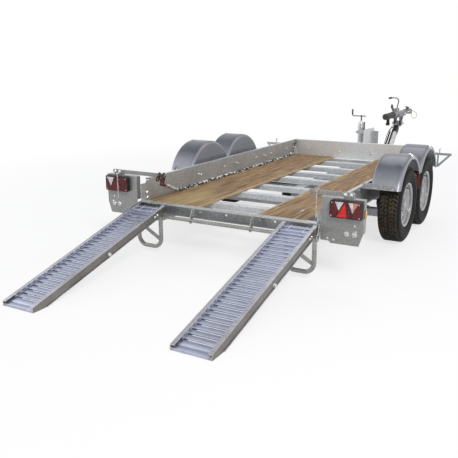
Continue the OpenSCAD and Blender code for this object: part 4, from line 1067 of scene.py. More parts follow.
for side, hand in ((-1, "left"), (1, "right")):
    on_lamp = rear_face(side, LAMP_X, LAMP_Z)
    housing, lens, frames, reflector = Stock(), Stock(), Stock(), Stock()
    add_slab(housing, round_outline(LAMP_W, LAMP_H, (0.008, 0.022, 0.022, 0.008)), housing_layers, on_lamp)
    make_piece(
        "lamp_housing_" + hand, housing, lamp_black, "chassis", 32, ["lamp_bodies"])
    lens_outline = round_outline(LAMP_W - 0.008, LAMP_H - 0.008, (0.006, 0.020, 0.018, 0.006))
    add_slab(lens, lens_outline, lens_layers, on_lamp)
    make_piece("lamp_lens_" + hand, lens, lens_red, "chassis", 32, ["lamp_lenses"])
    # the fields stand a little proud of the lens in black frames, and its upper corners are black too
    for corners in frame_corners:
        layers = [(LENS_EDGE, 0), (0.0424, 0), (0.0427, 0.0003)]
        add_slab(frames, corner_outline(*corners), layers, on_lamp)
    make_piece("lamp_frames_" + hand, frames, lamp_black, "chassis", 20)
    middle = corner_outline((-0.060, -0.052), (0.010, -0.052), (-0.002, 0.049))
    add_slab(reflector, middle, [(LENS_FACE, 0), (0.0440, 0), (0.0450, 0.0012)], on_lamp)
    # the middle reflector is painted a light red on the right lamp, as painted light, and a dark red on the
    # left one, as painted shade
    lens_middle = lens_lit if side > 0 else lens_shaded
    make_piece("lamp_reflector_" + hand, reflector, lens_middle, "chassis", 20)
    # the right lamp is clear inboard, and half clear, half orange outboard
    # the left lamp is red inboard and clear outboard
    shade, clear, signal = Stock(), Stock(), Stock()
    # the right half of the middle reflector is a darker red than its left half, as painted shade; on the
    # left lamp the red inboard field joins it
    shade_outline = corner_outline((0.0115, -0.052), (0.045, -0.052), (0.0005, 0.044))
    add_slab(shade, shade_outline, [(LENS_FACE, 0), (0.0432, 0), (0.0444, 0.0012)], on_lamp)
    for stock, corners in (
        (clear if side > 0 else shade, ((-0.074, 0.053), (-0.046, -0.008), (-0.012, 0.053))),
        (clear, ((0.021, 0.053), (0.054, -0.019), (0.055, 0.053))),
        (signal if side > 0 else clear, ((0.056, 0.053), (0.055, -0.017), (0.093, 0.053))),
    ):
        layers = [(LENS_FACE, 0), (0.0434, 0), (0.0444, 0.0008)]
        add_slab(stock, corner_outline(*corners), layers, on_lamp)
    make_piece("lamp_reflector_side_" + hand, shade, lens_red, "chassis", 20)
    make_piece("lamp_clear_" + hand, clear, lens_clear, "chassis", 20)
    if side > 0:
        make_piece("lamp_signal_" + hand, signal, lens_orange, "chassis", 20)
    lens_screws = Stock()
    for u, v in ((-0.097, 0.046), (-0.100, -0.046), (0.097, 0.044), (0.100, -0.048)):
        add_turned(lens_screws, lens_screw, on_lamp(u, v, 0), (0, -1, 0), 14)
    make_piece("lamp_screws_" + hand, lens_screws, bolt_zinc, "chassis")

# Side markers
# Small amber lamps with a domed lens on a black foot. One is stuck to the outer fold of each lamp board,
# facing sideways.
MARKER_X, MARKER_Y, MARKER_Z = 1.1163, 0.022, 0.511


def marker_face(side):
    return lambda u, v, depth: at(side * (MARKER_X + depth), MARKER_Y + u, MARKER_Z + v)


foot_layers = [(0, 0), (0.0022, 0), (0.0028, 0.0008)]
dome_layers = [(0.0026, 0), (0.0050, 0.0004), (0.0072, 0.0020), (0.0084, 0.0046), (0.0090, 0.0085)]
marker_black, marker_glass = Stock(), Stock()
for side in (-1, 1):
    add_slab(marker_black, round_outline(0.028, 0.062, 0.010), foot_layers, marker_face(side))
    add_slab(marker_glass, round_outline(0.0250, 0.0590, 0.0095), dome_layers, marker_face(side))
make_piece("marker_feet", marker_black, lamp_black, "chassis", 32)
amber = lens_finish("amber_lens", (0.62, 0.18, 0.02), (0.98, 0.46, 0.10), ribs=0.0034)
make_piece("marker_lenses", marker_glass, amber, "chassis", 32, ["side_markers"])

# Ramp bars
# Two flat bars on top of the lamp boards keep the ramps upright on the road. Each bar sits on an angle
# bracket with two bolts, and a locking pin hangs beside it on a thin chain.
BAR_LOW, BAR_TOP, BAR_T = 0.626, 0.658, 0.008
BAR_MID = (BAR_LOW + BAR_TOP) / 2
BRACKET_LOW, BRACKET_T = 0.6123, 0.005
RING = at(-0.548, -0.004, 0.6178)
bar_layers = [(0, 0.0008), (0.0008, 0), (BAR_T - 0.0008, 0), (BAR_T, 0.0008)]
bars, bar_bolts, pins = Stock(), Stock(), Stock()
for side, first, last in ((1, 0.715, 1.046), (-1, 0.525, 1.046)):
    on_bar = rear_face(1, side * (first + last) / 2, BAR_MID)
    add_slab(bars, round_outline(last - first, BAR_TOP - BAR_LOW, 0.010), bar_layers, on_bar)
    low, high = sorted((side * 0.966, side * 1.036))
    add_block(bars, at(low, GAP, BRACKET_LOW), at(high, 0.006, BAR_TOP), 0.0015)
    add_block(bars, at(low, 0.005, BRACKET_LOW), at(high, 0.042, BRACKET_LOW + BRACKET_T), 0.0015)
    for x in (0.980, 1.022):
        add_bolt(bar_bolts, at(side * x, -BAR_T - GAP, BAR_MID), (0, -1, 0), 0.017)
        add_bolt(bar_bolts, at(side * x, 0.030, 0.6175), (0, 0, 1), 0.015, 0.006, 0)
bar_zinc = zinc_finish("bar_zinc", (0.15, 0.15, 0.15), (0.36, 0.36, 0.355), rough=0.40)
add_tube(bars, circle_route(RING, 0.020), 0.005, 12, closed=True)
make_piece("ramp_keepers", bars, bar_zinc, "chassis", 38, ["ramp_bars"])
make_piece("keeper_bolts", bar_bolts, bolt_zinc, "chassis")


def add_link(stock, place, along, across, long, wide, wire, sides=8, steps=6):
    """One welded link, two straight sides and two half-round ends, measured on the wire's middle."""
    along, across = Vector(along).normalized(), Vector(across)
    across = (across - along * across.dot(along)).normalized()
    end, r = long / 2 - wide / 2, wide / 2
    route = []
    for sign in (1, -1):
        for k in range(steps + 1):
            angle = -math.pi / 2 + math.pi * k / steps
            spot = along * sign * (end + r * math.cos(angle)) + across * sign * r * math.sin(angle)
            route.append(Vector(place) + spot)
    add_tube(stock, route, wire, sides, closed=True)


PIN_PITCH, PIN_LONG = 0.0092, 0.034
pin_tip = [
    (0, 0), (0.0020, 0.001), (0.0046, 0.007), (0.0046, 0.029), (0.0032, 0.031), (0.0032, PIN_LONG),
    (0, PIN_LONG),
]
for x, y, high, low in ((0.775, -0.017, 0.650, 0.455), (-0.962, -0.059, 0.632, 0.425)):
    add_tube(pins, [at(x, y - 0.007, high), at(x, -BAR_T - 0.0003, high)], 0.005, 12)
    for i in range(int((high - low - PIN_LONG) / PIN_PITCH)):
        spot, across = at(x, y, high - 0.006 - PIN_PITCH * i), (1, 0, 0) if i % 2 else (0.35, 1, 0)
        add_link(pins, spot, (0, 0, 1), across, 0.0145, 0.0072, 0.0014, 6, 4)
    add_turned(pins, pin_tip, at(x, y, low), (0, 0, 1), 12)
chain_bright = zinc_finish(
    "chain_bright", (0.42, 0.42, 0.42), (0.80, 0.80, 0.79), size=400, rough=0.25, dirt=0.2, metallic=0.85
)
make_piece("pin_chains", pins, chain_bright, "chassis")

# Load chain
# A welded chain of nine-millimetre steel wire, dark with near-white patches, partly rubbed metal and partly
# painted highlight. It hangs from the ring on the left bar by a rusty shackle, lies along the left strip,
# and hooks over the front corner.
LINK_LONG, LINK_WIDE, LINK_WIRE = 0.048, 0.030, 0.0045
LINK_PITCH = LINK_LONG - 4 * LINK_WIRE
CHAIN_D, CHAIN_Z = 0.022, 0.414
chain_points = [
    (-0.548, -0.004, 0.590), (-0.550, 0.003, 0.565), (-0.584, 0.110, 0.538), (-0.636, 0.230, 0.502),
    (-0.688, 0.350, 0.464), (-0.728, 0.470, 0.431), (-0.746, 0.600, CHAIN_Z), (-0.750, 0.860, CHAIN_Z),
    (-0.752, 1.100, CHAIN_Z), (-0.746, 1.340, CHAIN_Z), (-0.752, 1.580, CHAIN_Z), (-0.748, 1.820, CHAIN_Z),
    (-0.753, 2.060, CHAIN_Z), (-0.748, 2.300, CHAIN_Z), (-0.752, 2.540, CHAIN_Z), (-0.748, 2.780, CHAIN_Z),
    (-0.750, 2.980, 0.436), (-0.752, 3.084, 0.515), (-0.753, 3.108, 0.580),
]


def smooth_route(points, steps):
    """The even curve that a cord takes through its points."""
    points = [Vector(p) for p in points]
    last, route = len(points) - 1, []
    for i in range(last):
        a, b, c, d = points[max(i - 1, 0)], points[i], points[i + 1], points[min(i + 2, last)]
        for j in range(steps):
            t = j / steps
            bent = (2 * a - 5 * b + 4 * c - d) * t**2 + (3 * b - a - 3 * c + d) * t**3
            route.append(0.5 * (2 * b + (c - a) * t + bent))
    return route + [points[-1]]


def route_length(route):
    return sum((b - a).length for a, b in zip(route, route[1:]))


def along_route(route, distance):
    """The place at a distance along a route, and the direction there."""
    for a, b in zip(route, route[1:]):
        step = (b - a).length
        if distance <= step:
            return a.lerp(b, distance / step), (b - a).normalized()
        distance -= step
    return route[-1], (route[-1] - route[-2]).normalized()


chain_route = smooth_route([at(*p) for p in chain_points], 8)
chain_length = route_length(chain_route)
links, shackle = Stock(), Stock()
shake = random.Random(5)
count = round((chain_length - LINK_LONG) / LINK_PITCH)
for i in range(count + 1):
    spot, along = along_route(chain_route, LINK_LONG / 2 + i * (chain_length - LINK_LONG) / count)
    flat = along.cross(Vector((0, 0, 1))) if abs(along.z) < 0.9 else Vector((1, 0, 0))
    lean = (1 if i % 2 else -1) * math.radians(45) + shake.uniform(-0.10, 0.10)
    across = Matrix.Rotation(lean, 3, along) @ flat.normalized()
    # the first link, in the shackle, is a size smaller
    size = 0.8 if i == 0 else 1
    inner = (size * LINK_LONG - 2 * LINK_WIRE, size * LINK_WIDE - 2 * LINK_WIRE)
    add_link(links, spot, along, across, *inner, LINK_WIRE, 10, 6)


def chain_finish():
    finish, tree, surface = new_finish("chain_steel", 0.3, 0.9)
    place, split = add_axes(tree)
    patch, grit = add_noise(place, 26, 5, 0.65), add_noise(place, 500, 3)
    # rust spreads from the shackle, and the rest has near-white patches, partly rubbed metal and partly
    # painted highlight
    mask = (patch + split["Y"].span(rear_y + 0.01, rear_y + 0.13, 0.30, 0.0)).span(0.60, 0.72)
    steel = grit.span(0.3, 0.7).mix((0.018, 0.018, 0.018), (0.11, 0.11, 0.105))
    steel = add_noise(place, 34, 2, 0.4).span(0.50, 0.56).mix(steel, (0.88, 0.87, 0.84))
    rust = grit.span(0.35, 0.68).mix((0.050, 0.014, 0.008), (0.22, 0.075, 0.035))
    mask.mix(steel, rust).feed(surface["Base Color"])
    mask.span(0, 1, 0.28, 0.85).feed(surface["Roughness"])
    mask.span(0, 1, 0.5, 0.1).feed(surface["Metallic"])
    add_bump(surface, grit, 0.0004, 0.4)
    return finish


chain = make_piece("load_chain_links", links, chain_finish(), "chassis", 60, ["load_chain"])
half_bow = [(0.007, -0.009), (0.013, -0.018), (0.015, -0.030), (0.013, -0.046)]
bow = [(-x, z) for x, z in half_bow[::-1]] + [(0, -0.006)] + half_bow
add_tube(shackle, smooth_route([RING + Vector((x, 0, z)) for x, z in bow], 4), 0.0055, 10)
PIN_DROP = Vector((0, 0, -0.050))
shackle_eye = [(0.0032, -0.006), (0.0095, -0.006), (0.0095, 0.006), (0.0032, 0.006), (0.0032, -0.006)]
for x in (-0.013, 0.013):
    add_turned(shackle, shackle_eye, RING + PIN_DROP + Vector((x, 0, 0)), (1, 0, 0), 16)
pin = [(0, -0.026), (0.0042, -0.026), (0.0042, 0.020), (0.0105, 0.020), (0.0105, 0.028), (0, 0.028)]
add_turned(shackle, pin, RING + PIN_DROP, (1, 0, 0), 6)
# six spare links wound round the end of the bar: place from the ring, the ways that the link's length and
# width point, length and width
spare_links = (
    ((0.014, 0.0, 0.022), (0.10, 0, 1), (0, 1, 0), 0.046, 0.026),
    ((-0.022, 0.0, 0.022), (-0.16, 0, 1), (0, 1, 0), 0.046, 0.026),
    ((-0.006, 0.018, 0.006), (1, 0.2, 0.3), (0, 1, 0.4), 0.046, 0.026),
    ((-0.002, -0.024, 0.010), (1, -0.1, -0.35), (0.1, 0.5, 1), 0.048, 0.028),
    ((0.020, -0.020, -0.004), (0.5, -0.1, 0.9), (1, 0.3, -0.5), 0.046, 0.026),
    ((-0.028, -0.018, 0.002), (0.4, 0.2, 1), (0.3, 1, -0.2), 0.044, 0.026),
)
for spot, along, across, long, wide in spare_links:
    add_link(shackle, RING + Vector(spot), along, across, long, wide, 0.0056)
# the shackle's bare edges are a pale pink-brown, partly rubbed metal and partly painted highlight
shackle_rust = rusty_finish(
    "shackle_rust", (0.70, 0.46, 0.36), 0.80, 0.5, deep=(0.014, 0.004, 0.003), fresh=(0.075, 0.020, 0.012)
)
make_piece("chain_shackle", shackle, shackle_rust, "chassis")

# Lamp cables
# A black rubber cable leaves the back of each lamp through the hole in its board, and runs forward under
# the side board into the chassis rail, where a grommet takes it.
lamp_points = [
    (0.993, -0.001, 0.533), (0.996, 0.030, 0.520), (0.992, 0.090, 0.484), (0.965, 0.260, 0.455),
    (0.930, 0.460, 0.440), (0.900, 0.650, 0.425), (0.872, 0.880, 0.375), (0.850, 1.010, 0.330),
    (0.815, 1.130, 0.295), (0.770, 1.200, 0.283), (0.710, 1.236, 0.290), (0.6712, 1.240, 0.292),
]
LAMP_CABLE_D = 0.010


def sheath_finish(name, colour, rough=0.5):
    finish, tree, surface = new_finish(name, rough)
    place, _ = add_axes(tree)
    tone = add_noise(place, 12, 4).span(0.3, 0.75).mix(colour, tuple(0.015 + 1.5 * c for c in colour))
    soil(surface, tone, 0.5, 1.2, 30.0)
    add_bump(surface, add_noise(place, 640, 2), 0.0002, 0.3)
    return finish


def run_cable(name, route, diameter, finish, body, node):
    """A round cable laid along its route as one curve."""
    line = bpy.data.curves.new(name, "CURVE")
    line.dimensions = "3D"
    line.bevel_depth = diameter / 2
    line.bevel_resolution = 3
    line.use_fill_caps = True
    spline = line.splines.new("POLY")
    spline.points.add(len(route) - 1)
    for point, spot in zip(spline.points, route):
        point.co = (*spot, 1)
    line.materials.append(finish)
    cable = bpy.data.objects.new(name, line)
    bpy.context.scene.collection.objects.link(cable)
    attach(cable, body)
    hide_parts(node)
    route_length(route)


cable_black = sheath_finish("cable_rubber", (0.014, 0.014, 0.015))
grommet = [
    (0.0052, 0.016), (0.0075, 0.015), (0.0090, 0.004), (0.0130, 0.0035), (0.0130, 0.0002), (0.0052, 0.0002),
    (0.0052, 0.016),
]
grommets = Stock()
for side, hand in ((-1, "left"), (1, "right")):
    route = smooth_route([at(side * x, y, z) for x, y, z in lamp_points], 6)
    run_cable(
        "lamp_cable_" + hand, route, LAMP_CABLE_D, cable_black, "chassis", "lamp_cables",
    )
    add_turned(grommets, grommet, at(side * 0.6701, 1.240, 0.292), (side, 0, 0), 20)
make_piece("cable_grommets", grommets, cable_black, "chassis")

# Jack
# A telescoping steel jack with a domed cap, clamped to a plate that stands on the centre beam. A cranked
# handle with a round grip turns the screw inside, and a solid rubber wheel runs under it.
JACK_X, JACK_Y = -0.122, 3.720
TUBE_R, TUBE_LOW, COLLAR_Z, JACK_TOP = 0.035, 0.330, 0.718, 0.796
jack_zinc = zinc_finish(
    "jack_zinc", (0.42, 0.43, 0.44), (0.72, 0.73, 0.74), size=180, contrast=0.4, runs=0.25, rough=0.26,
    dirt=0.15, metallic=0.7,
)
dress(jack_zinc, "jack_leg", "jack_mount")
tube = Stock()
barrel = [
    (0.0310, TUBE_LOW), (0.0340, TUBE_LOW), (TUBE_R, TUBE_LOW + 0.002), (TUBE_R, COLLAR_Z - 0.007),
    (0.0385, COLLAR_Z - 0.006), (0.0400, COLLAR_Z - 0.004), (0.0400, COLLAR_Z + 0.004),
    (0.0385, COLLAR_Z + 0.006), (0.0336, COLLAR_Z + 0.007), (0.0334, COLLAR_Z + 0.044),
    (0.0322, COLLAR_Z + 0.053), (0.0285, COLLAR_Z + 0.061), (0.0225, COLLAR_Z + 0.068),
    (0.0155, COLLAR_Z + 0.073), (0.0125, JACK_TOP - 0.003), (0.0115, JACK_TOP), (0.0090, JACK_TOP),
    (0.0090, 0.770), (0.0310, 0.768), (0.0310, TUBE_LOW),
]
add_turned(tube, barrel, at(JACK_X, JACK_Y, 0), sides=48)
make_piece("jack_barrel", tube, jack_zinc, "chassis", 30, ["jack_tube"])

handle, grip = Stock(), Stock()
GRIP_X, ARM_Z, GRIP_Z = JACK_X - 0.118, 0.856, 0.872
screw = [
    (0, 0.700), (0.0080, 0.700), (0.0080, 0.846), (0.0110, 0.848), (0.0110, 0.864), (0.0080, 0.866),
    (0, 0.866),
]
add_turned(handle, screw, at(JACK_X, JACK_Y, 0), sides=20)
crank_bar = [
    (JACK_X + 0.056, ARM_Z), (JACK_X + 0.040, ARM_Z), (JACK_X, ARM_Z), (GRIP_X + 0.022, ARM_Z),
    (GRIP_X + 0.006, ARM_Z + 0.003), (GRIP_X, ARM_Z + 0.014), (GRIP_X, 0.884),
]
add_tube(handle, smooth_route([at(x, JACK_Y, z) for x, z in crank_bar], 5), 0.0062, 12)
knob = [
    (0, GRIP_Z), (0.0063, GRIP_Z), (0.0088, 0.873), (0.0098, 0.880), (0.0092, 0.905), (0.0098, 0.928),
    (0.0084, 0.938), (0.0040, 0.940), (0, 0.940),
]
add_turned(grip, knob, at(GRIP_X, JACK_Y, 0), sides=20)
crank_black = painted_finish("crank_black", (0.030, 0.031, 0.033), 0.36, 0.2, (0.42, 0.41, 0.40))
make_piece("crank_handle", handle, crank_black, "jack_crank_body", 38, ["jack_crank"])
grip_plastic = plastic_finish("grip_plastic", (0.020, 0.020, 0.021), 0.38)
make_piece("crank_grip", grip, grip_plastic, "jack_crank_body")

clamp_bolts, lock_rod = Stock(), Stock()
for z in (0.419, 0.657):
    add_tube(clamp_bolts, [at(-0.1865, JACK_Y - 0.034, z), at(-0.1865, JACK_Y + 0.034, z)], 0.0048, 12)
    for y in (-0.038, 0.038):
        add_bolt(clamp_bolts, at(-0.0900, JACK_Y + y, z + 0.0172), (0, 0, 1), 0.014)
for y in (3.610, 3.900, 4.020):
    add_bolt(clamp_bolts, at(-0.030, y, 0.3484), (0, 0, 1), 0.019)
make_piece("jack_bolts", clamp_bolts, bolt_zinc, "chassis")
rod = [
    (0, 0.6742), (0.012, 0.6742), (0.012, 0.682), (0.0072, 0.684), (0.0072, 0.782), (0.0050, 0.788),
    (0, 0.788),
]
add_turned(lock_rod, rod, at(JACK_X + 0.044, JACK_Y, 0), sides=16)
make_piece("jack_lock_rod", lock_rod, crank_black, "chassis")


def wheel_rubber():
    finish, tree, surface = new_finish("wheel_rubber", 0.6)
    place, _ = add_axes(tree)
    tone = add_noise(place, 28, 5).span(0.3, 0.8).mix((0.014, 0.014, 0.014), (0.050, 0.048, 0.047))
    soil(surface, tone, 0.8, 0.4, 30.0, (0.16, 0.125, 0.09))
    add_bump(surface, add_noise(place, 500, 2), 0.0004, 0.4)
    return finish


dress(wheel_rubber(), "jack_wheel")

# Drawbar arm
# A galvanised box arm swings on two bolts between the centre beam and the coupling, with a black sleeve
# round its upper end, partly black steel and partly painted shade. Two brake cables lie beside it, and two
# ribbed conduits along its left edge.
PIVOT_Y, PIVOT_Z, ARM_LONG, ARM_ANGLE = 4.600, 0.292, 0.580, math.radians(40)
UP_Y, UP_Z = PIVOT_Y + ARM_LONG * math.cos(ARM_ANGLE), PIVOT_Z + ARM_LONG * math.sin(ARM_ANGLE)


def on_arm(x, y, z):
    """A place measured along the arm from its lower bolt."""
    return at(
        x,
        PIVOT_Y + y * math.cos(ARM_ANGLE) - z * math.sin(ARM_ANGLE),
        PIVOT_Z + y * math.sin(ARM_ANGLE) + z * math.cos(ARM_ANGLE),
    )


arm_zinc = zinc_finish(
    "arm_zinc", (0.30, 0.305, 0.31), (0.62, 0.625, 0.63), size=130, contrast=0.4, rough=0.32, dirt=0.2
)
dress(arm_zinc, "drawbar_arm")
arm_nuts = Stock()
for x in (-1, 1):
    for y in (0, ARM_LONG):
        add_bolt(arm_nuts, on_arm(x * 0.0642, y, 0), (x, 0, 0), 0.036, 0.014, 0.006)
make_piece("arm_nuts", arm_nuts, bolt_zinc, "arm")
# the sleeve is black, partly black steel and partly painted shade over the arm's upper end
sleeve = Stock()
SLEEVE_T, SLEEVE_GAP, SLEEVE_FROM, SLEEVE_TO = 0.0025, 0.0003, 0.385, 0.500
ends = (
    (SLEEVE_FROM, SLEEVE_GAP), (SLEEVE_FROM, SLEEVE_T), (SLEEVE_TO, SLEEVE_T), (SLEEVE_TO, SLEEVE_GAP),
)
rings = []
for y, grow in ends:
    outline = round_outline(0.060 + 2 * grow, 0.070 + 2 * grow, grow)
    rings.append([on_arm(u, y, v) for u, v in outline(0)])
skin_rings(sleeve, rings, closed=True)
drawbar_black = painted_finish(
    "drawbar_black", (0.008, 0.008, 0.009), 0.40, 0.05, bare=(0.12, 0.12, 0.12), shine=0.15
)
make_piece("arm_sleeve", sleeve, drawbar_black, "arm")
conduits = Stock()
RIBS, RIB_SWELL = 90, 0.06
for x, z, r in ((-0.067, 0.004, 0.0110), (-0.020, 0.0475, 0.0095)):
    spots = [on_arm(x, 0.100 + 0.300 * i / RIBS, z) for i in range(RIBS + 1)]
    add_tube(conduits, spots, r, 10, swell=lambda i: 1 + RIB_SWELL if i % 2 else 1 - RIB_SWELL)
make_piece("cable_conduits", conduits, drawbar_black, "arm")
BRAKE_CABLE_D = 0.010
brake_cables = {
    "brake_cable_outer": (
        (-0.034, 0.090, 0), (-0.062, 0.120, 0.004), (-0.084, 0.170, 0.008), (-0.088, 0.260, 0.010),
        (-0.088, 0.350, 0.010), (-0.082, 0.430, 0.008), (-0.062, 0.470, 0.004), (-0.034, 0.500, 0),
    ),
    "brake_cable_inner": (
        (-0.035, 0.060, 0.016), (-0.050, 0.090, 0.026), (-0.058, 0.150, 0.034), (-0.060, 0.250, 0.040),
        (-0.060, 0.350, 0.040), (-0.058, 0.440, 0.034), (-0.050, 0.490, 0.026), (-0.035, 0.520, 0.016),
    ),
}
for name, points in brake_cables.items():
    route = smooth_route([on_arm(*p) for p in points], 6)
    run_cable(name, route, BRAKE_CABLE_D, cable_black, "arm", "arm_cables")

# Overrun housing
# A grey-painted cast tube that the coupling's shaft slides in, welded between two cheeks on the arm's upper
# bolt.
# The cheeks are black, partly as black paint and partly as painted shade. A ribbed rubber boot covers the
# shaft's rear end, and a loop lever locks the damper.
HEAD_Z = UP_Z + 0.135
CHEEKS_Z = HEAD_Z - 0.040


def cast_finish(name, dark, light, rough=0.46, split_z=None):
    """Cast iron with a grey skin, black below a height if one is given, as black paint and painted shade."""
    finish, tree, surface = new_finish(name, rough, 0.35)
    place, split = add_axes(tree)
    cloud, sand = add_noise(place, 18, 5, 0.6), add_noise(place, 420, 3, 0.6)
    metal = cloud.span(0.32, 0.72).mix(dark, light)
    metal = (sand.span(0.52, 0.66) * 0.25).mix(metal, (0.06, 0.055, 0.05))
    if split_z:
        metal = split["Z"].span(split_z + 0.002, split_z - 0.002).mix(metal, (0.014, 0.014, 0.015))
    metal, normal = wear_edges(metal, 0.6, (0.62, 0.62, 0.62), 0.002, 4.0)
    soil(surface, metal, 0.3, 2.0, 16.0, (0.12, 0.11, 0.10))
    add_bump(surface, sand, 0.0007, 0.5, normal)
    return finish


# the cheeks, below CHEEKS_Z, are black: partly black paint and partly painted shade
housing_grey = cast_finish("housing_grey", (0.17, 0.18, 0.20), (0.36, 0.37, 0.40), split_z=CHEEKS_Z)
dress(housing_grey, "overrun_housing")
dress(sheath_finish("boot_rubber", (0.012, 0.012, 0.013), 0.55), "rear_boot")
dress(drawbar_black, "lock_lever")
housing_bolts = Stock()
for y in (UP_Y + 0.222, UP_Y + 0.274):
    for x in (-1, 1):
        add_bolt(housing_bolts, at(x * 0.0343, y, HEAD_Z - 0.014), (x, 0, 0), 0.017)
for x in (-1, 1):
    add_bolt(housing_bolts, at(x * 0.0202, UP_Y - 0.160, HEAD_Z + 0.058), (x, 0, 0), 0.013)
nipple = [
    (0, 0), (0.0055, 0), (0.0055, 0.005), (0.0030, 0.006), (0.0030, 0.011), (0.0042, 0.013), (0.0024, 0.017),
    (0, 0.017),
]
add_turned(housing_bolts, nipple, at(0, UP_Y + 0.120, HEAD_Z + 0.0355), (0, 0, 1), 12)
make_piece("housing_bolts", housing_bolts, bolt_zinc, "head")

# Coupling
# A forged ball coupling on the end of the shaft, held by two through-bolts, with a pressed release
# handle over it. A loop of coated breakaway cable hangs on its right-hand side.
HEAD_FRONT = UP_Y + 0.640
dress(cast_finish("coupling_grey", (0.10, 0.105, 0.11), (0.26, 0.265, 0.28), 0.42), "coupling_head")
coupling_bolts = Stock()
for y in (UP_Y + 0.385, UP_Y + 0.425):
    for x in (-1, 1):
        add_bolt(coupling_bolts, at(x * 0.0352, y, HEAD_Z), (x, 0, 0), 0.019, 0.008)
for y in (HEAD_FRONT - 0.120, HEAD_FRONT - 0.170):
    for x in (-1, 1):
        add_bolt(coupling_bolts, at(x * 0.0422, y, HEAD_Z + 0.004), (x, 0, 0), 0.013, 0.005, 0.002)
make_piece("coupling_bolts", coupling_bolts, bolt_zinc, "coupling")
LOOP_X, LOOP_Y, LOOP_D = 0.006, HEAD_FRONT - 0.060, 0.006
loop_points = [
    (0.040, 0, 0.006), (0.052, 0.014, 0.004), (0.084, 0.034, -0.014), (0.112, 0.040, -0.052),
    (0.104, 0.034, -0.096), (0.072, 0.022, -0.112), (0.048, 0.008, -0.084), (0.043, -0.004, -0.044),
    (0.039, -0.008, -0.018),
]
route = smooth_route([at(LOOP_X + x, LOOP_Y + y, HEAD_Z + z) for x, y, z in loop_points], 7)
loop_sheath = sheath_finish("loop_sheath", (0.21, 0.20, 0.135))
run_cable(
    "breakaway_loop", route, LOOP_D, loop_sheath, "coupling", "breakaway_cable",
)

# Brake lever
# The parking brake's handle is one bent steel tube, painted grey, on a bolt across the housing. Its
# end runs back level over the boot and carries a ribbed plastic grip.
LEVER_Y, LEVER_Z = UP_Y - 0.110, HEAD_Z + 0.062
lever, lever_grip = Stock(), Stock()
bends = [
    (0, 0), (0.018, 0.026), (0.046, 0.064), (0.070, 0.094), (0.077, 0.112), (0.066, 0.128), (0.038, 0.143),
    (-0.010, 0.156), (-0.065, 0.164), (-0.150, 0.171), (-0.232, 0.176), (-0.320, 0.1795), (-0.408, 0.180),
]
add_tube(lever, smooth_route([at(0, LEVER_Y + y, LEVER_Z + z) for y, z in bends], 5), 0.0090, 14)
boss = [
    (0, -0.0068), (0.0165, -0.0068), (0.0172, -0.0055), (0.0172, 0.0055), (0.0165, 0.0068), (0, 0.0068),
]
add_turned(lever, boss, at(0, LEVER_Y, LEVER_Z), (1, 0, 0), 28)
lever_pin = [(0, -0.0262), (0.0080, -0.0262), (0.0080, 0.0262), (0, 0.0262)]
add_turned(lever, lever_pin, at(0, LEVER_Y, LEVER_Z), (1, 0, 0), 20)
lever_grey = painted_finish("lever_grey", (0.16, 0.165, 0.17), 0.36, 0.1, (0.5, 0.5, 0.5))
make_piece("brake_handle", lever, lever_grey, "brake_lever_body", 38, ["brake_lever"])
ribs = [(0, -0.112), (0.0105, -0.112), (0.0130, -0.109)]
for y in (-0.106 + 0.0115 * i for i in range(9)):
    ribs += [(0.0130, y), (0.0122, y + 0.002), (0.0122, y + 0.006), (0.0130, y + 0.008)]
ribs += [(0.0118, 0), (0.0093, 0.002), (0, 0.002)]
add_turned(lever_grip, ribs, at(0, LEVER_Y - 0.300, LEVER_Z + 0.1788), (0, 1, 0), 24)
grip_black = plastic_finish("lever_grip_black", (0.016, 0.016, 0.017))
make_piece("brake_grip", lever_grip, grip_black, "brake_lever_body")

# Plug
# The plug of the road lighting, moulded in black plastic with a ribbed grip. It is parked in a bracket on
# the left side of the drawbar's head.
dress(plastic_finish("plug_black", (0.012, 0.012, 0.013), 0.38), "plug")
plug_ribs = Stock()
plug_rib = [
    (0.0175, -0.0022), (0.0190, -0.0016), (0.0190, 0.0016), (0.0175, 0.0022), (0.0165, 0), (0.0175, -0.0022)
]
for i in range(5):
    add_turned(plug_ribs, plug_rib, at(-0.128, UP_Y - 0.046 - 0.012 * i, UP_Z - 0.012), (0, 1, 0), 28)
make_piece("plug_ribs", plug_ribs, lamp_black, "head", 32)

# Ramps
# Two aluminium ramps hang on the rear bar by hooks. Folded treads with an upstanding lip are let into
# channel side rails, whose inner lips are punched, and each rail has a lug at mid-length to lift it by.
RAMP_RUN, RAMP_HEAD, RAMP_TOP, RAMP_TOE = 1.457, 0.020, 0.403, 0.035
RAMP_IN, RAMP_W, RAIL_W, RAIL_H = 0.520, 0.270, 0.028, 0.060
TREAD_PITCH, TREAD_W, TREAD_START = 0.048, 0.040, 0.014
slope = math.atan((RAMP_TOP - RAMP_TOE) / (RAMP_RUN - RAMP_HEAD))
RAMP_LONG = (RAMP_RUN - RAMP_HEAD) / math.cos(slope)
TREADS = int(RAMP_LONG / TREAD_PITCH) - 1


def on_ramp(x, down, above):
    """A place on a ramp: across the trailer, down the slope from the hooks, and above the rails' top."""
    return at(
        x,
        -RAMP_HEAD - down * math.cos(slope) - above * math.sin(slope),
        RAMP_TOP - down * math.sin(slope) + above * math.cos(slope),
    )


def add_sloped_block(stock, low, high, edge=0.0010):
    block = Stock()
    add_block(block, low, high, edge)
    stock.add([on_ramp(*p) for p in block.points], block.faces)


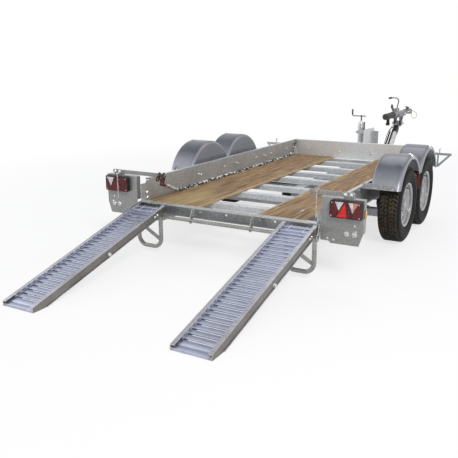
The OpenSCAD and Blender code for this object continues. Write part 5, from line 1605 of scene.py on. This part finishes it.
def add_punched_strip(stock, x, thick, first, holes, pitch, low, high, long, tall):
    """An upright strip with a row of round-ended holes, one to each tread."""
    sides, middle = 16, (low + high) / 2
    for hole in range(holes):
        centre = first + pitch * hole
        rings = []
        for side_x in (x, x + thick):
            outer, inner = [], []
            for k in range(sides):
                angle = 2 * math.pi * (k + 0.5) / sides
                c, s = math.cos(angle) / 2, math.sin(angle) / 2
                reach = 0.5 / max(abs(c), abs(s))
                outer.append(on_ramp(side_x, centre + c * reach * pitch, middle + s * reach * (high - low)))
                inner.append(on_ramp(side_x, centre + c * long, middle + s * tall))
            rings += [outer, inner]
        skin_rings(stock, [rings[0], rings[1], rings[3], rings[2]], closed=True)


def ramp_finish():
    finish, tree, surface = new_finish("ramp_aluminium", 0.32, 0.7)
    place, split = add_axes(tree)
    from_middle = abs(abs(split["X"]) - (RAMP_IN + RAMP_W / 2))
    rails = from_middle.span(RAMP_W / 2 - RAIL_W, RAMP_W / 2 - RAIL_W + 0.003)
    brushed = add_noise(add_stretch(tree, 0.03, 1, 1), 160, 4, 0.65)
    scuffs, cloud = add_noise(place, 24, 6, 0.7), add_noise(place, 5, 4)
    tone = (brushed * 0.6 + cloud * 0.5).span(0.36, 0.74)
    # each tread is painted in shade below the lip of the one above it, and painted light towards its own
    # lip, with a painted highlight at the lip
    down = (rear_y - RAMP_HEAD - split["Y"]) * math.cos(slope) + (RAMP_TOP - split["Z"]) * math.sin(slope)
    step = ((down - TREAD_START) / TREAD_PITCH).math("FRACT")
    tread = tone.mix((0.115, 0.135, 0.215), (0.32, 0.35, 0.48))
    tread = (step.span(0.25, 0.80) * 0.7).mix(tread, (0.62, 0.66, 0.80))
    # the rails are painted light on top, and their upright webs are painted in shade
    rail = tone.mix((0.24, 0.24, 0.265), (0.50, 0.50, 0.54))
    shaded_web = tone.mix((0.105, 0.098, 0.090), (0.27, 0.255, 0.24))
    rail = abs(add_facing(tree)["X"]).span(0.6, 0.8).mix(rail, shaded_web)
    metal = (scuffs.span(0.56, 0.70) * 0.5).mix(rails.mix(tread, rail), (0.17, 0.175, 0.21))
    metal, normal = wear_edges(metal, 0.7, (0.90, 0.91, 0.96), 0.0035, 5.0)
    soil(surface, metal, 0.4, 0.25, 14.0, (0.24, 0.22, 0.21))
    scuffs.span(0.3, 0.7, 0.24, 0.44).feed(surface["Roughness"])
    add_bump(surface, brushed, 0.0004, 0.35, normal)
    return finish


aluminium = ramp_finish()
dress(aluminium, "ramp_left", "ramp_right")
LIP_T, LUG_DOWN = 0.002, 0.720
lug_z = RAMP_TOP - math.tan(slope) * (LUG_DOWN - RAMP_HEAD) - 0.040
collar = [(0, GAP), (0.014, GAP), (0.014, 0.003), (0.0105, 0.0045), (0.0105, 0.0118), (0, 0.0118)]
for side, hand in ((-1, "left"), (1, "right")):
    near, far = sorted((side * RAMP_IN, side * (RAMP_IN + RAMP_W)))
    fittings, lugs = Stock(), Stock()
    for x, out in ((near, -1), (far, 1)):
        lip = x - out * RAIL_W - (LIP_T if out < 0 else 0)
        middle = TREAD_START + TREAD_W / 2
        add_punched_strip(fittings, lip, LIP_T, middle, TREADS, TREAD_PITCH, -0.024, -0.0035, 0.015, 0.0075)
        low, high = sorted((x + out * GAP, x + out * 0.0080))
        add_sloped_block(fittings, (low, 0.110, -RAIL_H), (high, RAMP_LONG - 0.105, -RAIL_H + 0.004))
        add_bolt(lugs, (x + out * 0.0122, rear_y - LUG_DOWN, lug_z), (out, 0, 0), 0.017, 0.004, 0)
        add_turned(lugs, collar, (x, rear_y - LUG_DOWN, lug_z), (out, 0, 0), 20)
        for hook in (0.114, 0.148):
            add_bolt(lugs, on_ramp(x + out * GAP, hook, -0.030), (out, 0, 0), 0.013, 0.005, 0)
    for i in range(TREADS):
        start = TREAD_START + TREAD_PITCH * i
        for foot in (near + RAIL_W + 0.001, far - RAIL_W - 0.001):
            ends = [on_ramp(foot, start + down, -0.0168) for down in (0.006, TREAD_W - 0.004)]
            add_weld(fittings, *ends, 0.0022)
    body = "ramp_%s_body" % hand
    make_piece("ramp_fittings_" + hand, fittings, aluminium, body)
    make_piece("ramp_lugs_" + hand, lugs, bolt_zinc, body)
